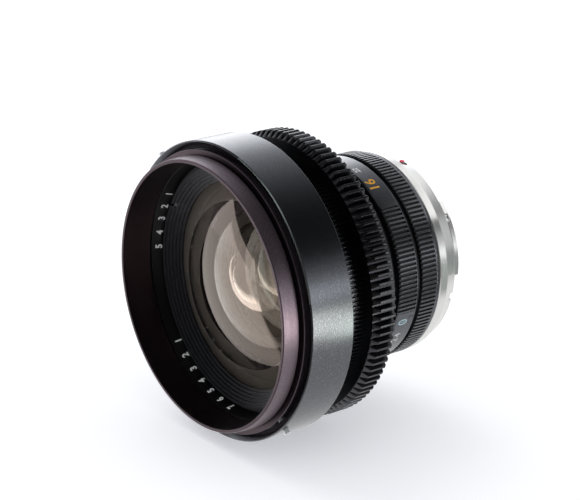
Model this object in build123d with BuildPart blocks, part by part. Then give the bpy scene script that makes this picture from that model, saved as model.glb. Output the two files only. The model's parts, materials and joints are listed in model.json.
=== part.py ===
from build123d import *
import math
import os

# A wide-angle prime lens rehoused for cine work: a reflex lens with a three-lug bayonet, a front
# ring and hood clamped on its nose, and a toothed ring on its focusing ring.
# The optical axis is Y. The front looks along -Y, and y = 0 is the register face of the mount.
# Angles are seen from the front, from +X over +Z. Lengths are millimetres, at infinity focus
# and full aperture.

# Fits
running_fit = 0.05
screw_fit = 0.02
glass_fit = 0.05
end_play = 0.1
free_gap = 0.4
edge_break = 0.25

# Bayonet mount, its adapter and their screws
flange_radius = 29.9
mount_plate = 4.3
mount_taper = 0.9
throat_radius = 21.5
boss_wall = 2.75
boss_length = 5.0
lug_height = 1.75
lug_thickness = 1.4
lug_span = 52
lug_angles = (20, 140, 260)
lock_notch_width = 2.6
lock_notch_depth = 1.6
lock_notch_angle = 345
adapter_plate = 3.0
mount_screw_count = 5
mount_screw_angle = 34
mount_screw_length = 9.6
mount_screw_radius = 1.0
mount_screw_head = 1.9
index_dot_radius = 1.3
index_dot_stand = 0.55
index_dot_angle = 75.4
baffle_opening = 16.0
baffle_length = 2.5

# Fixed barrel
slide_bore = 30.3
bearing_wall = 2.3
tail_wall = 1.6
neck_step = 1.0
rear_barrel_wall = 2.1
rear_flange_wall = 3.8
rear_flange_length = 4.6
barrel_rib_width = 1.4
barrel_rib_height = 1.2
neck_length = 2.5
nose_length = 1.5
tube_tail = 2.7
stop_flange_width = 1.0
stop_flange_height = 2.7
retaining_ring_width = 1.1
retaining_ring_height = 1.9

# Fixed scale ring, with its blocks of grip ribs
scale_ring_width = 7.2
scale_ring_wall = 2.35
scale_ring_chamfer = 0.7
rib_pitch = 1.4
rib_depth = 0.4
rib_groove = 0.75
rib_run_out = 0.4
scale_block_centres = (16.4, 136.4, 256.4)
scale_block_span = 61

# Aperture ring, its fork and the post that the fork drives
aperture_ring_width = 7.1
aperture_ring_wall = 2.4
aperture_rear_band = 1.6
aperture_turn = 48
fork_thickness = 1.2
fork_width = 5.0
fork_setback = 0.85
fork_pocket = 1.0
post_radius = 0.8
post_circle = 21.6
post_angle = 200

# Focusing ring, its gear and its stop
focus_ring_length = 25.5
focus_land_length = 13.2
focus_ring_wall = 2.05
knurl_height = 0.4
knurl_length = 6.2
knurl_pitch = 1.39
knurl_depth = 0.45
knurl_groove = 0.8
focus_rear_wall = 2.6
gear_module = 0.8
gear_rim = 4.5
gear_width = 7.5
gear_setback = 0.5
gear_front_chamfer = 1.7
gear_rear_chamfer = 0.5
pressure_angle = 20
gear_screw_angles = (20, 140, 260)
focus_turn = 120
focus_travel = 1.7
stop_pin_radius = 0.7
stop_pin_angle = 250

# Helicoid sleeve and guide key
carrier_step = 0.9
sleeve_wall = 1.5
key_width = 4.0
key_length = 11.5
key_stand = 1.3
key_sink = 0.9
key_floor = 0.35
key_angle = 160

# Front group, hood and clamp-on front ring
front_cell_wall = 1.25
front_glass_setback = 2.8
front_glass_rim = 3.9
front_land = 1.4
front_shoulder_length = 2.4
retainer_height = 4.4
retainer_depth = 3.1
retainer_steps = 6
retainer_rise = 0.69
retainer_lip = 0.5
retainer_notch = 1.6
retainer_notch_angles = (150, 330)
trough_width = 1.1
number_ring_height = 1.8
number_ring_width = 3.8
number_ring_taper = 1.4
number_floor = 1.4
nose_wall = 0.7
hood_wall = 1.35
hood_length = 15.2
hood_nose_length = 6.4
hood_groove = 0.5
hood_lip = 0.5
hood_rim_step = 0.45
hood_taper = 1.05
hood_rim_wall = 1.63
hood_throat_length = 9.7
hood_throat_taper = 0.63
collar_wall = 3.4
collar_length = 15.0
collar_setback = 6.5
collar_dish = 1.4
collar_recess = 0.9
collar_recess_length = 4.0
collar_rear_gap = 1.9
collar_screw_angles = (131.5, 311.5)
collar_screw_radius = 1.0
collar_screw_setback = 2.4
collar_screw_stand = 1.4

# Iris
blade_count = 6
open_radius = 8.6
closed_radius = 1.0
blade_margin = 0.1
blade_pivot_circle = 18.2
blade_width = 8.1
blade_thickness = 0.12
blade_layer = 0.2
blade_span = 118
pin_radius = 0.6
ear_radius = 1.3
cam_arm = 4.2
iris_plate = 1.0
iris_bore = 23.6
iris_wall = 1.25
iris_length = 4.3
drive_ring_thickness = 0.9
drive_ring_inner = 15.8
iris_retainer_width = 1.0

# Rear cell
rear_cell_radius = 18.0
rear_cell_flange = 1.5
spigot_wall = 1.6
spigot_length = 1.4

# Glass: curves of the faces, front then rear. A plus curve bulges to the front
front_curves = (83, 43)
front_hollow = 22.8
second_curves = (52, 28.5)
second_radius = 22.75
second_hollow = 16.6
second_length = 7.4
third_curves = (38, 57)
third_radius = 15.15
third_thickness = 4.15
fourth_curve = -76
fourth_thickness = 4.3
fifth_curves = (40, -30)
fifth_radius = 10.0
fifth_thickness = 4.3
sixth_curves = (-25, 28)
sixth_radius = 11.5
sixth_hollow = 9.6
sixth_thickness = 1.0
seventh_curve = -35
seventh_thickness = 5.0
eighth_curves = (-60, -30)
eighth_radius = 12.5
eighth_hollow = 11.4
eighth_thickness = 3.0
ninth_curves = (-70, -28)
ninth_radius = 13.5
ninth_hollow = 12.4
ninth_thickness = 4.0
spacer_wall = 0.85


def station(y):
    """Plane across the axis that looks forward. Its x is X and its y is Z."""
    return Plane.XZ.offset(-y)


def rearward(y):
    """Plane across the axis that looks to the rear. Angles run the other way on it."""
    return Plane(origin=(0, y, 0), x_dir=(1, 0, 0), z_dir=(0, 1, 0))


def outward(angle, y, radius):
    """Plane at a radius that looks away from the axis. Its x runs to the rear."""
    x = math.cos(math.radians(angle))
    z = math.sin(math.radians(angle))
    return Plane(origin=(radius * x, y, radius * z), x_dir=(0, 1, 0), z_dir=(x, 0, z))


def on_circle(radius, angle):
    return (radius * math.cos(math.radians(angle)), radius * math.sin(math.radians(angle)))


def ring_sector(inner, outer, start, span):
    """Part of a flat ring, from a start angle over a span."""
    with BuildSketch() as sector:
        with BuildLine():
            outer_arc = CenterArc((0, 0), outer, start, span)
            inner_arc = CenterArc((0, 0), inner, start, span)
            Line(outer_arc @ 0, inner_arc @ 0)
            Line(outer_arc @ 1, inner_arc @ 1)
        make_face()
    return sector.sketch


def sag(curve, height):
    """How far behind its vertex a glass face lies at a height from the axis."""
    return math.copysign(abs(curve) - math.sqrt(curve**2 - height**2), curve)


def glass_section(rim, front, rear):
    """Half section of a glass element. Each face is its vertex, its curve and its clear height."""
    with BuildSketch() as section:
        with BuildLine():
            for vertex, curve, clear in (front, rear):
                middle = (clear / 2, vertex + sag(curve, clear / 2))
                edge = (clear, vertex + sag(curve, clear))
                ThreePointArc((0, vertex), middle, edge)
                if clear < rim:
                    Line(edge, (rim, edge[1]))
            front_corner = (rim, front[0] + sag(front[1], front[2]))
            rear_corner = (rim, rear[0] + sag(rear[1], rear[2]))
            Line(front_corner, rear_corner)
            Line((0, front[0]), (0, rear[0]))
        make_face()
    return section.sketch


def grooves(radius, depth, width, angles):
    """Tapered grooves on the outside of a ring, as faces across the axis."""
    with BuildSketch() as teeth:
        for angle in angles:
            with PolarLocations(0, 1, start_angle=angle):
                Polygon(
                    (radius - depth, -width / 4),
                    (radius + depth, -0.75 * width),
                    (radius + depth, 0.75 * width),
                    (radius - depth, width / 4),
                    align=None,
                )
    return teeth.sketch


# Stations along the axis, from the mount forward
mount_front = -mount_plate
adapter_front = mount_front - adapter_plate
aperture_ring_rear = adapter_front - end_play
aperture_ring_front = aperture_ring_rear - aperture_ring_width
barrel_rib_rear = aperture_ring_front - end_play
barrel_rib_front = barrel_rib_rear - barrel_rib_width
scale_ring_front = barrel_rib_front - scale_ring_width
tube_rear = scale_ring_front - neck_length
rear_nose_front = tube_rear - nose_length
stop_flange_rear = tube_rear - tube_tail
stop_flange_front = stop_flange_rear - stop_flange_width
focus_ring_rear = stop_flange_front - end_play
focus_ring_front = focus_ring_rear - focus_ring_length
focus_land_front = focus_ring_rear - focus_land_length
retaining_ring_rear = focus_land_front - end_play
tube_front = retaining_ring_rear - retaining_ring_width
carrier_rear = tube_front - free_gap
front_shoulder = focus_ring_front - free_gap
gear_front = focus_land_front + gear_setback
gear_rear = gear_front + gear_width
knurl_front = gear_front - knurl_length

# Radii from the slide outwards
slide_radius = slide_bore - running_fit
bearing_radius = slide_bore + bearing_wall
focus_bearing_bore = bearing_radius + running_fit
focus_rear_radius = focus_bearing_bore + focus_rear_wall
stop_flange_radius = bearing_radius + stop_flange_height
stop_pin_circle = focus_bearing_bore + focus_rear_wall / 3
carrier_radius = bearing_radius + carrier_step
helicoid_radius = carrier_radius + sleeve_wall
helicoid_bore = helicoid_radius + running_fit
focus_ring_radius = helicoid_bore + focus_ring_wall
knurl_radius = focus_ring_radius + knurl_height
knurl_count = round(2 * math.pi * knurl_radius / knurl_pitch)
gear_seat = focus_ring_radius + knurl_height / 2
gear_teeth = round(2 * (gear_seat + gear_rim) / gear_module + 2.5)
gear_root = gear_module * (gear_teeth - 2.5) / 2
gear_pitch_radius = gear_module * gear_teeth / 2
gear_tip = gear_module * (gear_teeth + 2) / 2

# Radii of the rear barrel and of what it carries
barrel_radius = slide_bore - neck_step
barrel_bore = barrel_radius - rear_barrel_wall
rear_flange_bore = barrel_radius - rear_flange_wall
mount_screw_circle = (rear_flange_bore + barrel_radius) / 2
aperture_ring_bore = barrel_radius + running_fit
aperture_ring_radius = aperture_ring_bore + aperture_ring_wall
scale_ring_radius = barrel_radius + scale_ring_wall
adapter_radius = aperture_ring_radius - edge_break
boss_radius = throat_radius + boss_wall

# The front group, outwards and forwards from its glass
front_bore = carrier_radius - front_cell_wall
front_glass_radius = front_bore - glass_fit
front_thread = front_bore - 0.65
retainer_radius = front_glass_radius + retainer_height
number_ring_inner = retainer_radius + trough_width
number_ring_outer = number_ring_inner + number_ring_height
nose_radius = number_ring_outer + nose_wall
hood_clamp_radius = nose_radius + hood_wall
collar_bore = hood_clamp_radius + running_fit
collar_radius = collar_bore + collar_wall
collar_rear_bore = knurl_radius + collar_rear_gap
front_glass_rear = front_shoulder + front_glass_setback
front_glass_front = front_glass_rear - front_glass_rim
lens_barrel_front = front_glass_rear + front_land
retainer_seat = front_glass_rear - retainer_depth
retainer_lip_radius = front_glass_radius - 0.7
hood_rear = front_shoulder - front_shoulder_length
hood_rim = hood_rear - hood_length
collar_front = hood_rim + collar_setback
collar_rear = collar_front + collar_length
collar_screw_y = collar_front + collar_screw_setback
number_ring_rear = hood_rear - number_floor
number_ring_front = number_ring_rear - number_ring_width

# The slide, the iris and the rear cell
lens_barrel_rear = rear_nose_front - free_gap
iris_rear = lens_barrel_rear - end_play
iris_front = iris_rear - iris_length
blade_front = iris_front + iris_plate + end_play
drive_ring_front = blade_front + blade_count * blade_layer + end_play
drive_ring_rear = drive_ring_front + drive_ring_thickness
iris_outer = iris_bore + iris_wall
spigot_radius = iris_outer + spigot_wall
rear_cell_flange_rear = iris_rear + rear_cell_flange
fork_front = aperture_ring_front + fork_setback
fork_rear = fork_front + fork_thickness

# Glass stations
front_vertex = front_glass_front - sag(front_curves[0], retainer_lip_radius)
front_hollow_vertex = front_glass_rear - sag(front_curves[1], front_hollow)
second_glass_rear = lens_barrel_front + 7.6
second_vertex = second_glass_rear - second_length
second_glass_front = second_vertex + sag(second_curves[0], second_radius)
second_hollow_vertex = second_glass_rear - sag(second_curves[1], second_hollow)
fourth_vertex = iris_front - 0.6
third_rear_vertex = fourth_vertex - fourth_thickness
third_vertex = third_rear_vertex - third_thickness
third_land_rear = third_vertex + 2.75
fourth_edge = fourth_vertex + sag(fourth_curve, third_radius)
third_retainer_front = fourth_edge + 0.27
fifth_vertex = rear_cell_flange_rear - 0.8
fifth_rear_vertex = fifth_vertex + fifth_thickness
fifth_seat = fifth_vertex + sag(fifth_curves[0], fifth_radius - spacer_wall)
sixth_seat = fifth_rear_vertex + 0.7
sixth_vertex = sixth_seat - sag(sixth_curves[0], sixth_hollow)
sixth_rear_vertex = sixth_vertex + sixth_thickness
seventh_vertex = sixth_rear_vertex + seventh_thickness
eighth_seat = seventh_vertex + 0.25
eighth_vertex = eighth_seat - sag(eighth_curves[0], eighth_hollow)
eighth_rear_vertex = eighth_vertex + eighth_thickness
ninth_vertex = eighth_rear_vertex + 0.55
ninth_seat = ninth_vertex + sag(ninth_curves[0], ninth_hollow)
ninth_rear_vertex = ninth_vertex + ninth_thickness
ninth_edge = ninth_rear_vertex + sag(ninth_curves[1], ninth_radius)
rear_thread_front = ninth_edge + 0.1
rear_cell_rear = rear_thread_front + 2.0

# How far a blade swings to close the pupil, and its share of the aperture ring's turn
blade_inner = open_radius + blade_margin
blade_outer = blade_inner + blade_width
swing_sine = (blade_inner - closed_radius) / (2 * blade_pivot_circle)
blade_turn = 2 * math.degrees(math.asin(swing_sine))
blade_angles = [k * 360 / blade_count for k in range(blade_count)]
cam_x = blade_pivot_circle - cam_arm * math.sin(math.radians(blade_turn / 2))
cam_z = -cam_arm * math.cos(math.radians(blade_turn / 2))

os.makedirs("parts", exist_ok=True)

# Bayonet mount: taper-sided plate, boss and three lugs, with a notch for the lock pin
with BuildPart() as bayonet_mount:
    with BuildSketch(Plane.XY):
        Polygon(
            (throat_radius, mount_front),
            (flange_radius + mount_taper - edge_break, mount_front),
            (flange_radius + mount_taper, mount_front + edge_break),
            (flange_radius, -edge_break),
            (flange_radius - edge_break, 0),
            (boss_radius, 0),
            (boss_radius, boss_length - edge_break),
            (boss_radius - edge_break, boss_length),
            (throat_radius, boss_length),
            align=None,
        )
    revolve(axis=Axis.Y)
    with BuildSketch(station(boss_length - edge_break)):
        for angle in lug_angles:
            add(ring_sector(boss_radius - 0.5, boss_radius + lug_height, angle - lug_span / 2, lug_span))
    extrude(amount=lug_thickness)
    with BuildSketch(station(0)):
        with PolarLocations(flange_radius, 1, start_angle=lock_notch_angle):
            Rectangle(2.2, lock_notch_width)
    extrude(amount=lock_notch_depth, mode=Mode.SUBTRACT)
    with Locations(rearward(0)):
        with PolarLocations(mount_screw_circle, mount_screw_count, start_angle=-mount_screw_angle):
            CounterSinkHole(mount_screw_radius + screw_fit, mount_screw_head + screw_fit, mount_plate)
    with Locations(outward(index_dot_angle, mount_front / 2, flange_radius - 0.3)):
        Cylinder(index_dot_radius, 3, align=(Align.CENTER, Align.CENTER, Align.MIN), mode=Mode.SUBTRACT)
bayonet_mount.part.label = "bayonet_mount"
export_step(bayonet_mount.part, "parts/bayonet_mount.step")

# Index dot: a domed stud in the side of the mount
with BuildPart() as index_dot:
    dot_height = 0.3 + mount_taper / 2 + index_dot_stand
    with Locations(outward(index_dot_angle, mount_front / 2, flange_radius - 0.3)):
        Cylinder(index_dot_radius - screw_fit, dot_height, align=(Align.CENTER, Align.CENTER, Align.MIN))
    fillet(index_dot.edges().sort_by(lambda edge: edge.center().Z)[-1], 0.3)
index_dot.part.label = "index_dot"
export_step(index_dot.part, "parts/index_dot.step")

# Mount screws: countersunk heads with a cross recess
with BuildPart() as mount_screws:
    with Locations(rearward(-0.05)):
        with PolarLocations(mount_screw_circle, mount_screw_count, start_angle=-mount_screw_angle):
            Cylinder(
                mount_screw_radius,
                mount_screw_length,
                align=(Align.CENTER, Align.CENTER, Align.MAX),
            )
            Cone(
                mount_screw_radius,
                mount_screw_head - 0.1,
                mount_screw_head - mount_screw_radius,
                align=(Align.CENTER, Align.CENTER, Align.MAX),
            )
            for turn in (0, 90):
                Box(
                    2.2,
                    0.45,
                    0.6,
                    rotation=(0, 0, turn),
                    align=(Align.CENTER, Align.CENTER, Align.MAX),
                    mode=Mode.SUBTRACT,
                )
mount_screws.part.label = "mount_screws"
export_step(mount_screws.part, "parts/mount_screws.step")

# Adapter between the rear barrel and the mount
with BuildPart() as mount_adapter:
    with BuildSketch(Plane.XY):
        Polygon(
            (rear_flange_bore, adapter_front),
            (adapter_radius - edge_break, adapter_front),
            (adapter_radius, adapter_front + edge_break),
            (adapter_radius, mount_front - edge_break),
            (adapter_radius - edge_break, mount_front),
            (rear_flange_bore, mount_front),
            align=None,
        )
    revolve(axis=Axis.Y)
    with Locations(rearward(mount_front)):
        with PolarLocations(mount_screw_circle, mount_screw_count, start_angle=-mount_screw_angle):
            Hole(mount_screw_radius + screw_fit, adapter_plate)
mount_adapter.part.label = "mount_adapter"
export_step(mount_adapter.part, "parts/mount_adapter.step")

# Baffle in the throat of the mount
with BuildPart() as rear_baffle:
    with BuildSketch(Plane.XY):
        Polygon(
            (baffle_opening, mount_front),
            (throat_radius - screw_fit, mount_front),
            (throat_radius - screw_fit, mount_front + baffle_length),
            (throat_radius - 0.8, mount_front + baffle_length),
            (baffle_opening, mount_front + 0.6),
            align=None,
        )
    revolve(axis=Axis.Y)
rear_baffle.part.label = "rear_baffle"
export_step(rear_baffle.part, "parts/rear_baffle.step")

# Rear barrel: threaded nose, neck, rib and a thick rear flange, with a window for the fork
with BuildPart() as rear_barrel:
    with BuildSketch(Plane.XY):
        Polygon(
            (barrel_bore, rear_nose_front),
            (slide_bore - screw_fit, rear_nose_front),
            (slide_bore - screw_fit, tube_rear),
            (barrel_radius, tube_rear),
            (barrel_radius, barrel_rib_front),
            (barrel_radius + barrel_rib_height, barrel_rib_front),
            (barrel_radius + barrel_rib_height, barrel_rib_rear),
            (barrel_radius, barrel_rib_rear),
            (barrel_radius, adapter_front),
            (rear_flange_bore, adapter_front),
            (rear_flange_bore, adapter_front - rear_flange_length),
            (barrel_bore, adapter_front - rear_flange_length),
            align=None,
        )
    revolve(axis=Axis.Y)
    fork_swing = math.degrees(fork_width / 2 / barrel_bore) + 2
    with BuildSketch(station(fork_rear + 0.35)):
        add(
            ring_sector(
                barrel_bore - 1,
                barrel_radius + 1,
                post_angle - fork_swing,
                aperture_turn + 2 * fork_swing,
            )
        )
    extrude(amount=fork_thickness + 0.7, mode=Mode.SUBTRACT)
    with Locations(rearward(adapter_front)):
        with PolarLocations(mount_screw_circle, mount_screw_count, start_angle=-mount_screw_angle):
            Hole(mount_screw_radius + screw_fit, mount_screw_length + adapter_front + 0.4)
rear_barrel.part.label = "rear_barrel"
export_step(rear_barrel.part, "parts/rear_barrel.step")

# Scale ring: smooth zones between three blocks of grip ribs
with BuildPart() as scale_ring:
    with BuildSketch(Plane.XY):
        Polygon(
            (barrel_radius + screw_fit, scale_ring_front),
            (scale_ring_radius - scale_ring_chamfer, scale_ring_front),
            (scale_ring_radius, scale_ring_front + scale_ring_chamfer),
            (scale_ring_radius, barrel_rib_front - edge_break),
            (scale_ring_radius - edge_break, barrel_rib_front),
            (barrel_radius + screw_fit, barrel_rib_front),
            align=None,
        )
    revolve(axis=Axis.Y)
    rib_step = math.degrees(rib_pitch / scale_ring_radius)
    block_ribs = int(scale_block_span / rib_step)
    with BuildSketch(station(barrel_rib_front - rib_run_out)):
        for centre in scale_block_centres:
            first = centre - rib_step * block_ribs / 2
            angles = [first + k * rib_step for k in range(block_ribs + 1)]
            add(grooves(scale_ring_radius, rib_depth, rib_groove, angles))
    extrude(amount=scale_ring_width, mode=Mode.SUBTRACT)
scale_ring.part.label = "scale_ring"
export_step(scale_ring.part, "parts/scale_ring.step")

# Aperture ring: ribbed all round, with a plain band at the rear and a pocket for the fork
with BuildPart() as aperture_ring:
    with BuildSketch(Plane.XY):
        Polygon(
            (aperture_ring_bore, aperture_ring_front),
            (aperture_ring_radius - edge_break, aperture_ring_front),
            (aperture_ring_radius, aperture_ring_front + edge_break),
            (aperture_ring_radius, aperture_ring_rear - 2 * edge_break),
            (aperture_ring_radius - 2 * edge_break, aperture_ring_rear),
            (aperture_ring_bore, aperture_ring_rear),
            align=None,
        )
    revolve(axis=Axis.Y)
    rib_count = round(2 * math.pi * aperture_ring_radius / rib_pitch)
    with BuildSketch(station(aperture_ring_rear - aperture_rear_band)):
        add(
            grooves(
                aperture_ring_radius,
                rib_depth,
                rib_groove,
                [k * 360 / rib_count for k in range(rib_count)],
            )
        )
    extrude(amount=aperture_ring_width, mode=Mode.SUBTRACT)
    with BuildSketch(station(fork_rear)):
        with PolarLocations(aperture_ring_bore + fork_pocket - 1.5, 1, start_angle=post_angle):
            Rectangle(3, fork_width + 2 * screw_fit)
    extrude(amount=fork_rear - aperture_ring_front, mode=Mode.SUBTRACT)
aperture_ring.part.label = "aperture_ring"
export_step(aperture_ring.part, "parts/aperture_ring.step")

# Fork: reaches in through the rear barrel and straddles the post
with BuildPart() as aperture_fork:
    fork_outer = aperture_ring_bore + fork_pocket - screw_fit
    fork_inner = post_circle - 1.4
    with BuildSketch(station(fork_rear)):
        with PolarLocations((fork_outer + fork_inner) / 2, 1, start_angle=post_angle):
            Rectangle(fork_outer - fork_inner, fork_width)
        with PolarLocations(post_circle - 1, 1, start_angle=post_angle):
            SlotCenterToCenter(2, 2 * (post_radius + running_fit), mode=Mode.SUBTRACT)
    extrude(amount=fork_thickness)
aperture_fork.part.label = "aperture_fork"
export_step(aperture_fork.part, "parts/aperture_fork.step")

# Bearing tube: the focusing ring turns on it and the optics slide in it
with BuildPart() as bearing_tube:
    with BuildSketch(Plane.XY):
        Polygon(
            (slide_bore, tube_front),
            (bearing_radius, tube_front),
            (bearing_radius, stop_flange_front),
            (stop_flange_radius, stop_flange_front),
            (stop_flange_radius, stop_flange_rear),
            (slide_bore + tail_wall, stop_flange_rear),
            (slide_bore + tail_wall, tube_rear),
            (slide_bore, tube_rear),
            align=None,
        )
    revolve(axis=Axis.Y)
    stop_swing = math.degrees((stop_pin_radius + end_play) / stop_pin_circle)
    slot_half = stop_pin_radius + end_play
    with BuildSketch(station(stop_flange_rear)):
        add(
            ring_sector(
                stop_pin_circle - slot_half,
                stop_pin_circle + slot_half,
                stop_pin_angle - stop_swing,
                focus_turn + 2 * stop_swing,
            )
        )
    extrude(amount=stop_flange_width, mode=Mode.SUBTRACT)
    key_rear = stop_flange_front - 0.1
    with BuildSketch(station(key_rear)):
        with PolarLocations(slide_bore + key_sink - 1.5, 1, start_angle=key_angle):
            Rectangle(3, key_width - 2 * running_fit)
    extrude(amount=key_length, mode=Mode.SUBTRACT)
    for share in (0.2, 0.8):
        with Locations(outward(key_angle, key_rear - share * key_length, bearing_radius)):
            CounterSinkHole(0.8 + screw_fit, 1.4 + screw_fit, 3)
bearing_tube.part.label = "bearing_tube"
export_step(bearing_tube.part, "parts/bearing_tube.step")

# Guide key: keeps the optics from turning as they slide
with BuildPart() as guide_key:
    key_inner = slide_bore - key_stand
    key_outer = slide_bore + key_sink
    with BuildSketch(station(key_rear)):
        with PolarLocations((key_inner + key_outer) / 2, 1, start_angle=key_angle):
            Rectangle(key_outer - key_inner, key_width - 2 * running_fit)
    extrude(amount=key_length)
    for share in (0.2, 0.8):
        with Locations(outward(key_angle, key_rear - share * key_length, key_outer)):
            Hole(0.8 + screw_fit, 1.6)
guide_key.part.label = "guide_key"
export_step(guide_key.part, "parts/guide_key.step")

# Screws of the guide key, sunk below the bearing
with BuildPart() as key_screws:
    for share in (0.2, 0.8):
        with Locations(outward(key_angle, key_rear - share * key_length, bearing_radius - 0.15)):
            Cylinder(0.8, 2.6, align=(Align.CENTER, Align.CENTER, Align.MAX))
            Cone(0.8, 1.3, 0.5, align=(Align.CENTER, Align.CENTER, Align.MAX))
            Box(2.6, 0.4, 0.25, align=(Align.CENTER, Align.CENTER, Align.MAX), mode=Mode.SUBTRACT)
key_screws.part.label = "key_screws"
export_step(key_screws.part, "parts/key_screws.step")

# Ring that keeps the focusing ring on its bearing, with two spanner slots
with BuildPart() as focus_retaining_ring:
    with BuildSketch(Plane.XY):
        Polygon(
            (bearing_radius + screw_fit, tube_front),
            (bearing_radius + retaining_ring_height, tube_front),
            (bearing_radius + retaining_ring_height, retaining_ring_rear),
            (bearing_radius + screw_fit, retaining_ring_rear),
            align=None,
        )
    revolve(axis=Axis.Y)
    with BuildSketch(station(tube_front + 0.6)):
        with PolarLocations(bearing_radius + retaining_ring_height, 2, start_angle=65):
            Rectangle(1.6, 1.6)
    extrude(amount=0.6, mode=Mode.SUBTRACT)
focus_retaining_ring.part.label = "focus_retaining_ring"
export_step(focus_retaining_ring.part, "parts/focus_retaining_ring.step")

# Focusing ring: smooth nose, straight knurl, gear seat and bearing
with BuildPart() as focus_ring:
    with BuildSketch(Plane.XY):
        Polygon(
            (helicoid_bore, focus_ring_front),
            (focus_ring_radius - edge_break, focus_ring_front),
            (focus_ring_radius, focus_ring_front + edge_break),
            (focus_ring_radius, knurl_front - edge_break),
            (knurl_radius, knurl_front + edge_break),
            (knurl_radius, gear_front),
            (gear_seat, gear_front),
            (gear_seat, gear_rear),
            (focus_rear_radius, gear_rear),
            (focus_rear_radius, focus_ring_rear - edge_break),
            (focus_rear_radius - edge_break, focus_ring_rear),
            (focus_bearing_bore, focus_ring_rear),
            (focus_bearing_bore, focus_land_front),
            (helicoid_bore, focus_land_front),
            align=None,
        )
    revolve(axis=Axis.Y)
    with BuildSketch(station(gear_front)):
        add(
            grooves(
                knurl_radius,
                knurl_depth,
                knurl_groove,
                [k * 360 / knurl_count for k in range(knurl_count)],
            )
        )
    extrude(amount=knurl_length + 0.6, mode=Mode.SUBTRACT)
    with Locations(rearward(focus_ring_rear)):
        with PolarLocations(stop_pin_circle, 1, start_angle=-stop_pin_angle):
            Hole(stop_pin_radius + screw_fit, 2.5)
focus_ring.part.label = "focus_ring"
export_step(focus_ring.part, "parts/focus_ring.step")

# Stop pin: runs in the slot of the stop flange
with BuildPart() as focus_stop_pin:
    with BuildSketch(station(stop_flange_rear - end_play)):
        with PolarLocations(stop_pin_circle, 1, start_angle=stop_pin_angle):
            Circle(stop_pin_radius)
    extrude(amount=stop_flange_width + 2.4)
focus_stop_pin.part.label = "focus_stop_pin"
export_step(focus_stop_pin.part, "parts/focus_stop_pin.step")

# Focus gear: straight teeth on a bevelled ring
with BuildPart() as focus_gear:
    with BuildSketch(Plane.XY):
        Polygon(
            (gear_seat + screw_fit, gear_front),
            (gear_tip - gear_front_chamfer, gear_front),
            (gear_tip, gear_front + gear_front_chamfer),
            (gear_tip, gear_rear - gear_rear_chamfer),
            (gear_tip - gear_rear_chamfer, gear_rear),
            (gear_seat + screw_fit, gear_rear),
            align=None,
        )
    revolve(axis=Axis.Y)
    gap_half = math.pi * gear_module / 4
    lean = math.tan(math.radians(pressure_angle))
    gap_root = gap_half - (gear_pitch_radius - gear_root) * lean
    gap_tip = gap_half + (gear_tip + 0.3 - gear_pitch_radius) * lean
    with BuildSketch(station(gear_rear)):
        with PolarLocations(0, gear_teeth):
            Polygon(
                (gear_root, -gap_root),
                (gear_tip + 0.3, -gap_tip),
                (gear_tip + 0.3, gap_tip),
                (gear_root, gap_root),
                align=None,
            )
    extrude(amount=gear_width, mode=Mode.SUBTRACT)
    for angle in gear_screw_angles:
        with Locations(outward(angle, (gear_front + gear_rear) / 2, gear_tip)):
            Hole(1 + screw_fit, gear_tip - gear_seat + 1)
focus_gear.part.label = "focus_gear"
export_step(focus_gear.part, "parts/focus_gear.step")

# Grub screws that hold the gear on the focusing ring
with BuildPart() as gear_set_screws:
    for angle in gear_screw_angles:
        with BuildSketch(outward(angle, (gear_front + gear_rear) / 2, gear_seat + 0.05)):
            Circle(1)
        extrude(amount=gear_root - gear_seat - 0.3)
        with BuildSketch(outward(angle, (gear_front + gear_rear) / 2, gear_root - 1.1)):
            RegularPolygon(0.5, 6)
        extrude(amount=1, mode=Mode.SUBTRACT)
gear_set_screws.part.label = "gear_set_screws"
export_step(gear_set_screws.part, "parts/gear_set_screws.step")

# Helicoid sleeve: brass, in the thread of the focusing ring
with BuildPart() as helicoid_sleeve:
    with BuildSketch(Plane.XY):
        Polygon(
            (carrier_radius + screw_fit, front_shoulder),
            (helicoid_radius, front_shoulder),
            (helicoid_radius, carrier_rear),
            (carrier_radius + screw_fit, carrier_rear),
            align=None,
        )
    revolve(axis=Axis.Y)
helicoid_sleeve.part.label = "helicoid_sleeve"
export_step(helicoid_sleeve.part, "parts/helicoid_sleeve.step")

# Front barrel: the cell of the front glass, with a threaded nose and a tail in the sleeve
with BuildPart() as front_barrel:
    with BuildSketch(Plane.XY):
        Polygon(
            (number_ring_outer, number_ring_front - end_play),
            (nose_radius, number_ring_front - end_play),
            (nose_radius, hood_rear),
            (collar_rear_bore - 0.5, hood_rear),
            (collar_rear_bore - 0.5, front_shoulder),
            (carrier_radius, front_shoulder),
            (carrier_radius, carrier_rear),
            (front_thread, carrier_rear),
            (front_thread, lens_barrel_front),
            (front_thread - 0.8, lens_barrel_front),
            (front_thread - 0.8, front_glass_rear),
            (front_bore, front_glass_rear),
            (front_bore, retainer_seat),
            (retainer_radius + screw_fit, retainer_seat),
            (retainer_radius + screw_fit, number_ring_rear),
            (number_ring_outer, number_ring_rear),
            align=None,
        )
    revolve(axis=Axis.Y)
front_barrel.part.label = "front_barrel"
export_step(front_barrel.part, "parts/front_barrel.step")

# Number ring: the tapered ring round the front glass
with BuildPart() as number_ring:
    with BuildSketch(Plane.XY):
        Polygon(
            (number_ring_inner + number_ring_taper, number_ring_front),
            (number_ring_outer - screw_fit, number_ring_front),
            (number_ring_outer - screw_fit, number_ring_rear),
            (number_ring_inner, number_ring_rear),
            align=None,
        )
    revolve(axis=Axis.Y)
number_ring.part.label = "number_ring"
export_step(number_ring.part, "parts/number_ring.step")

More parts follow.
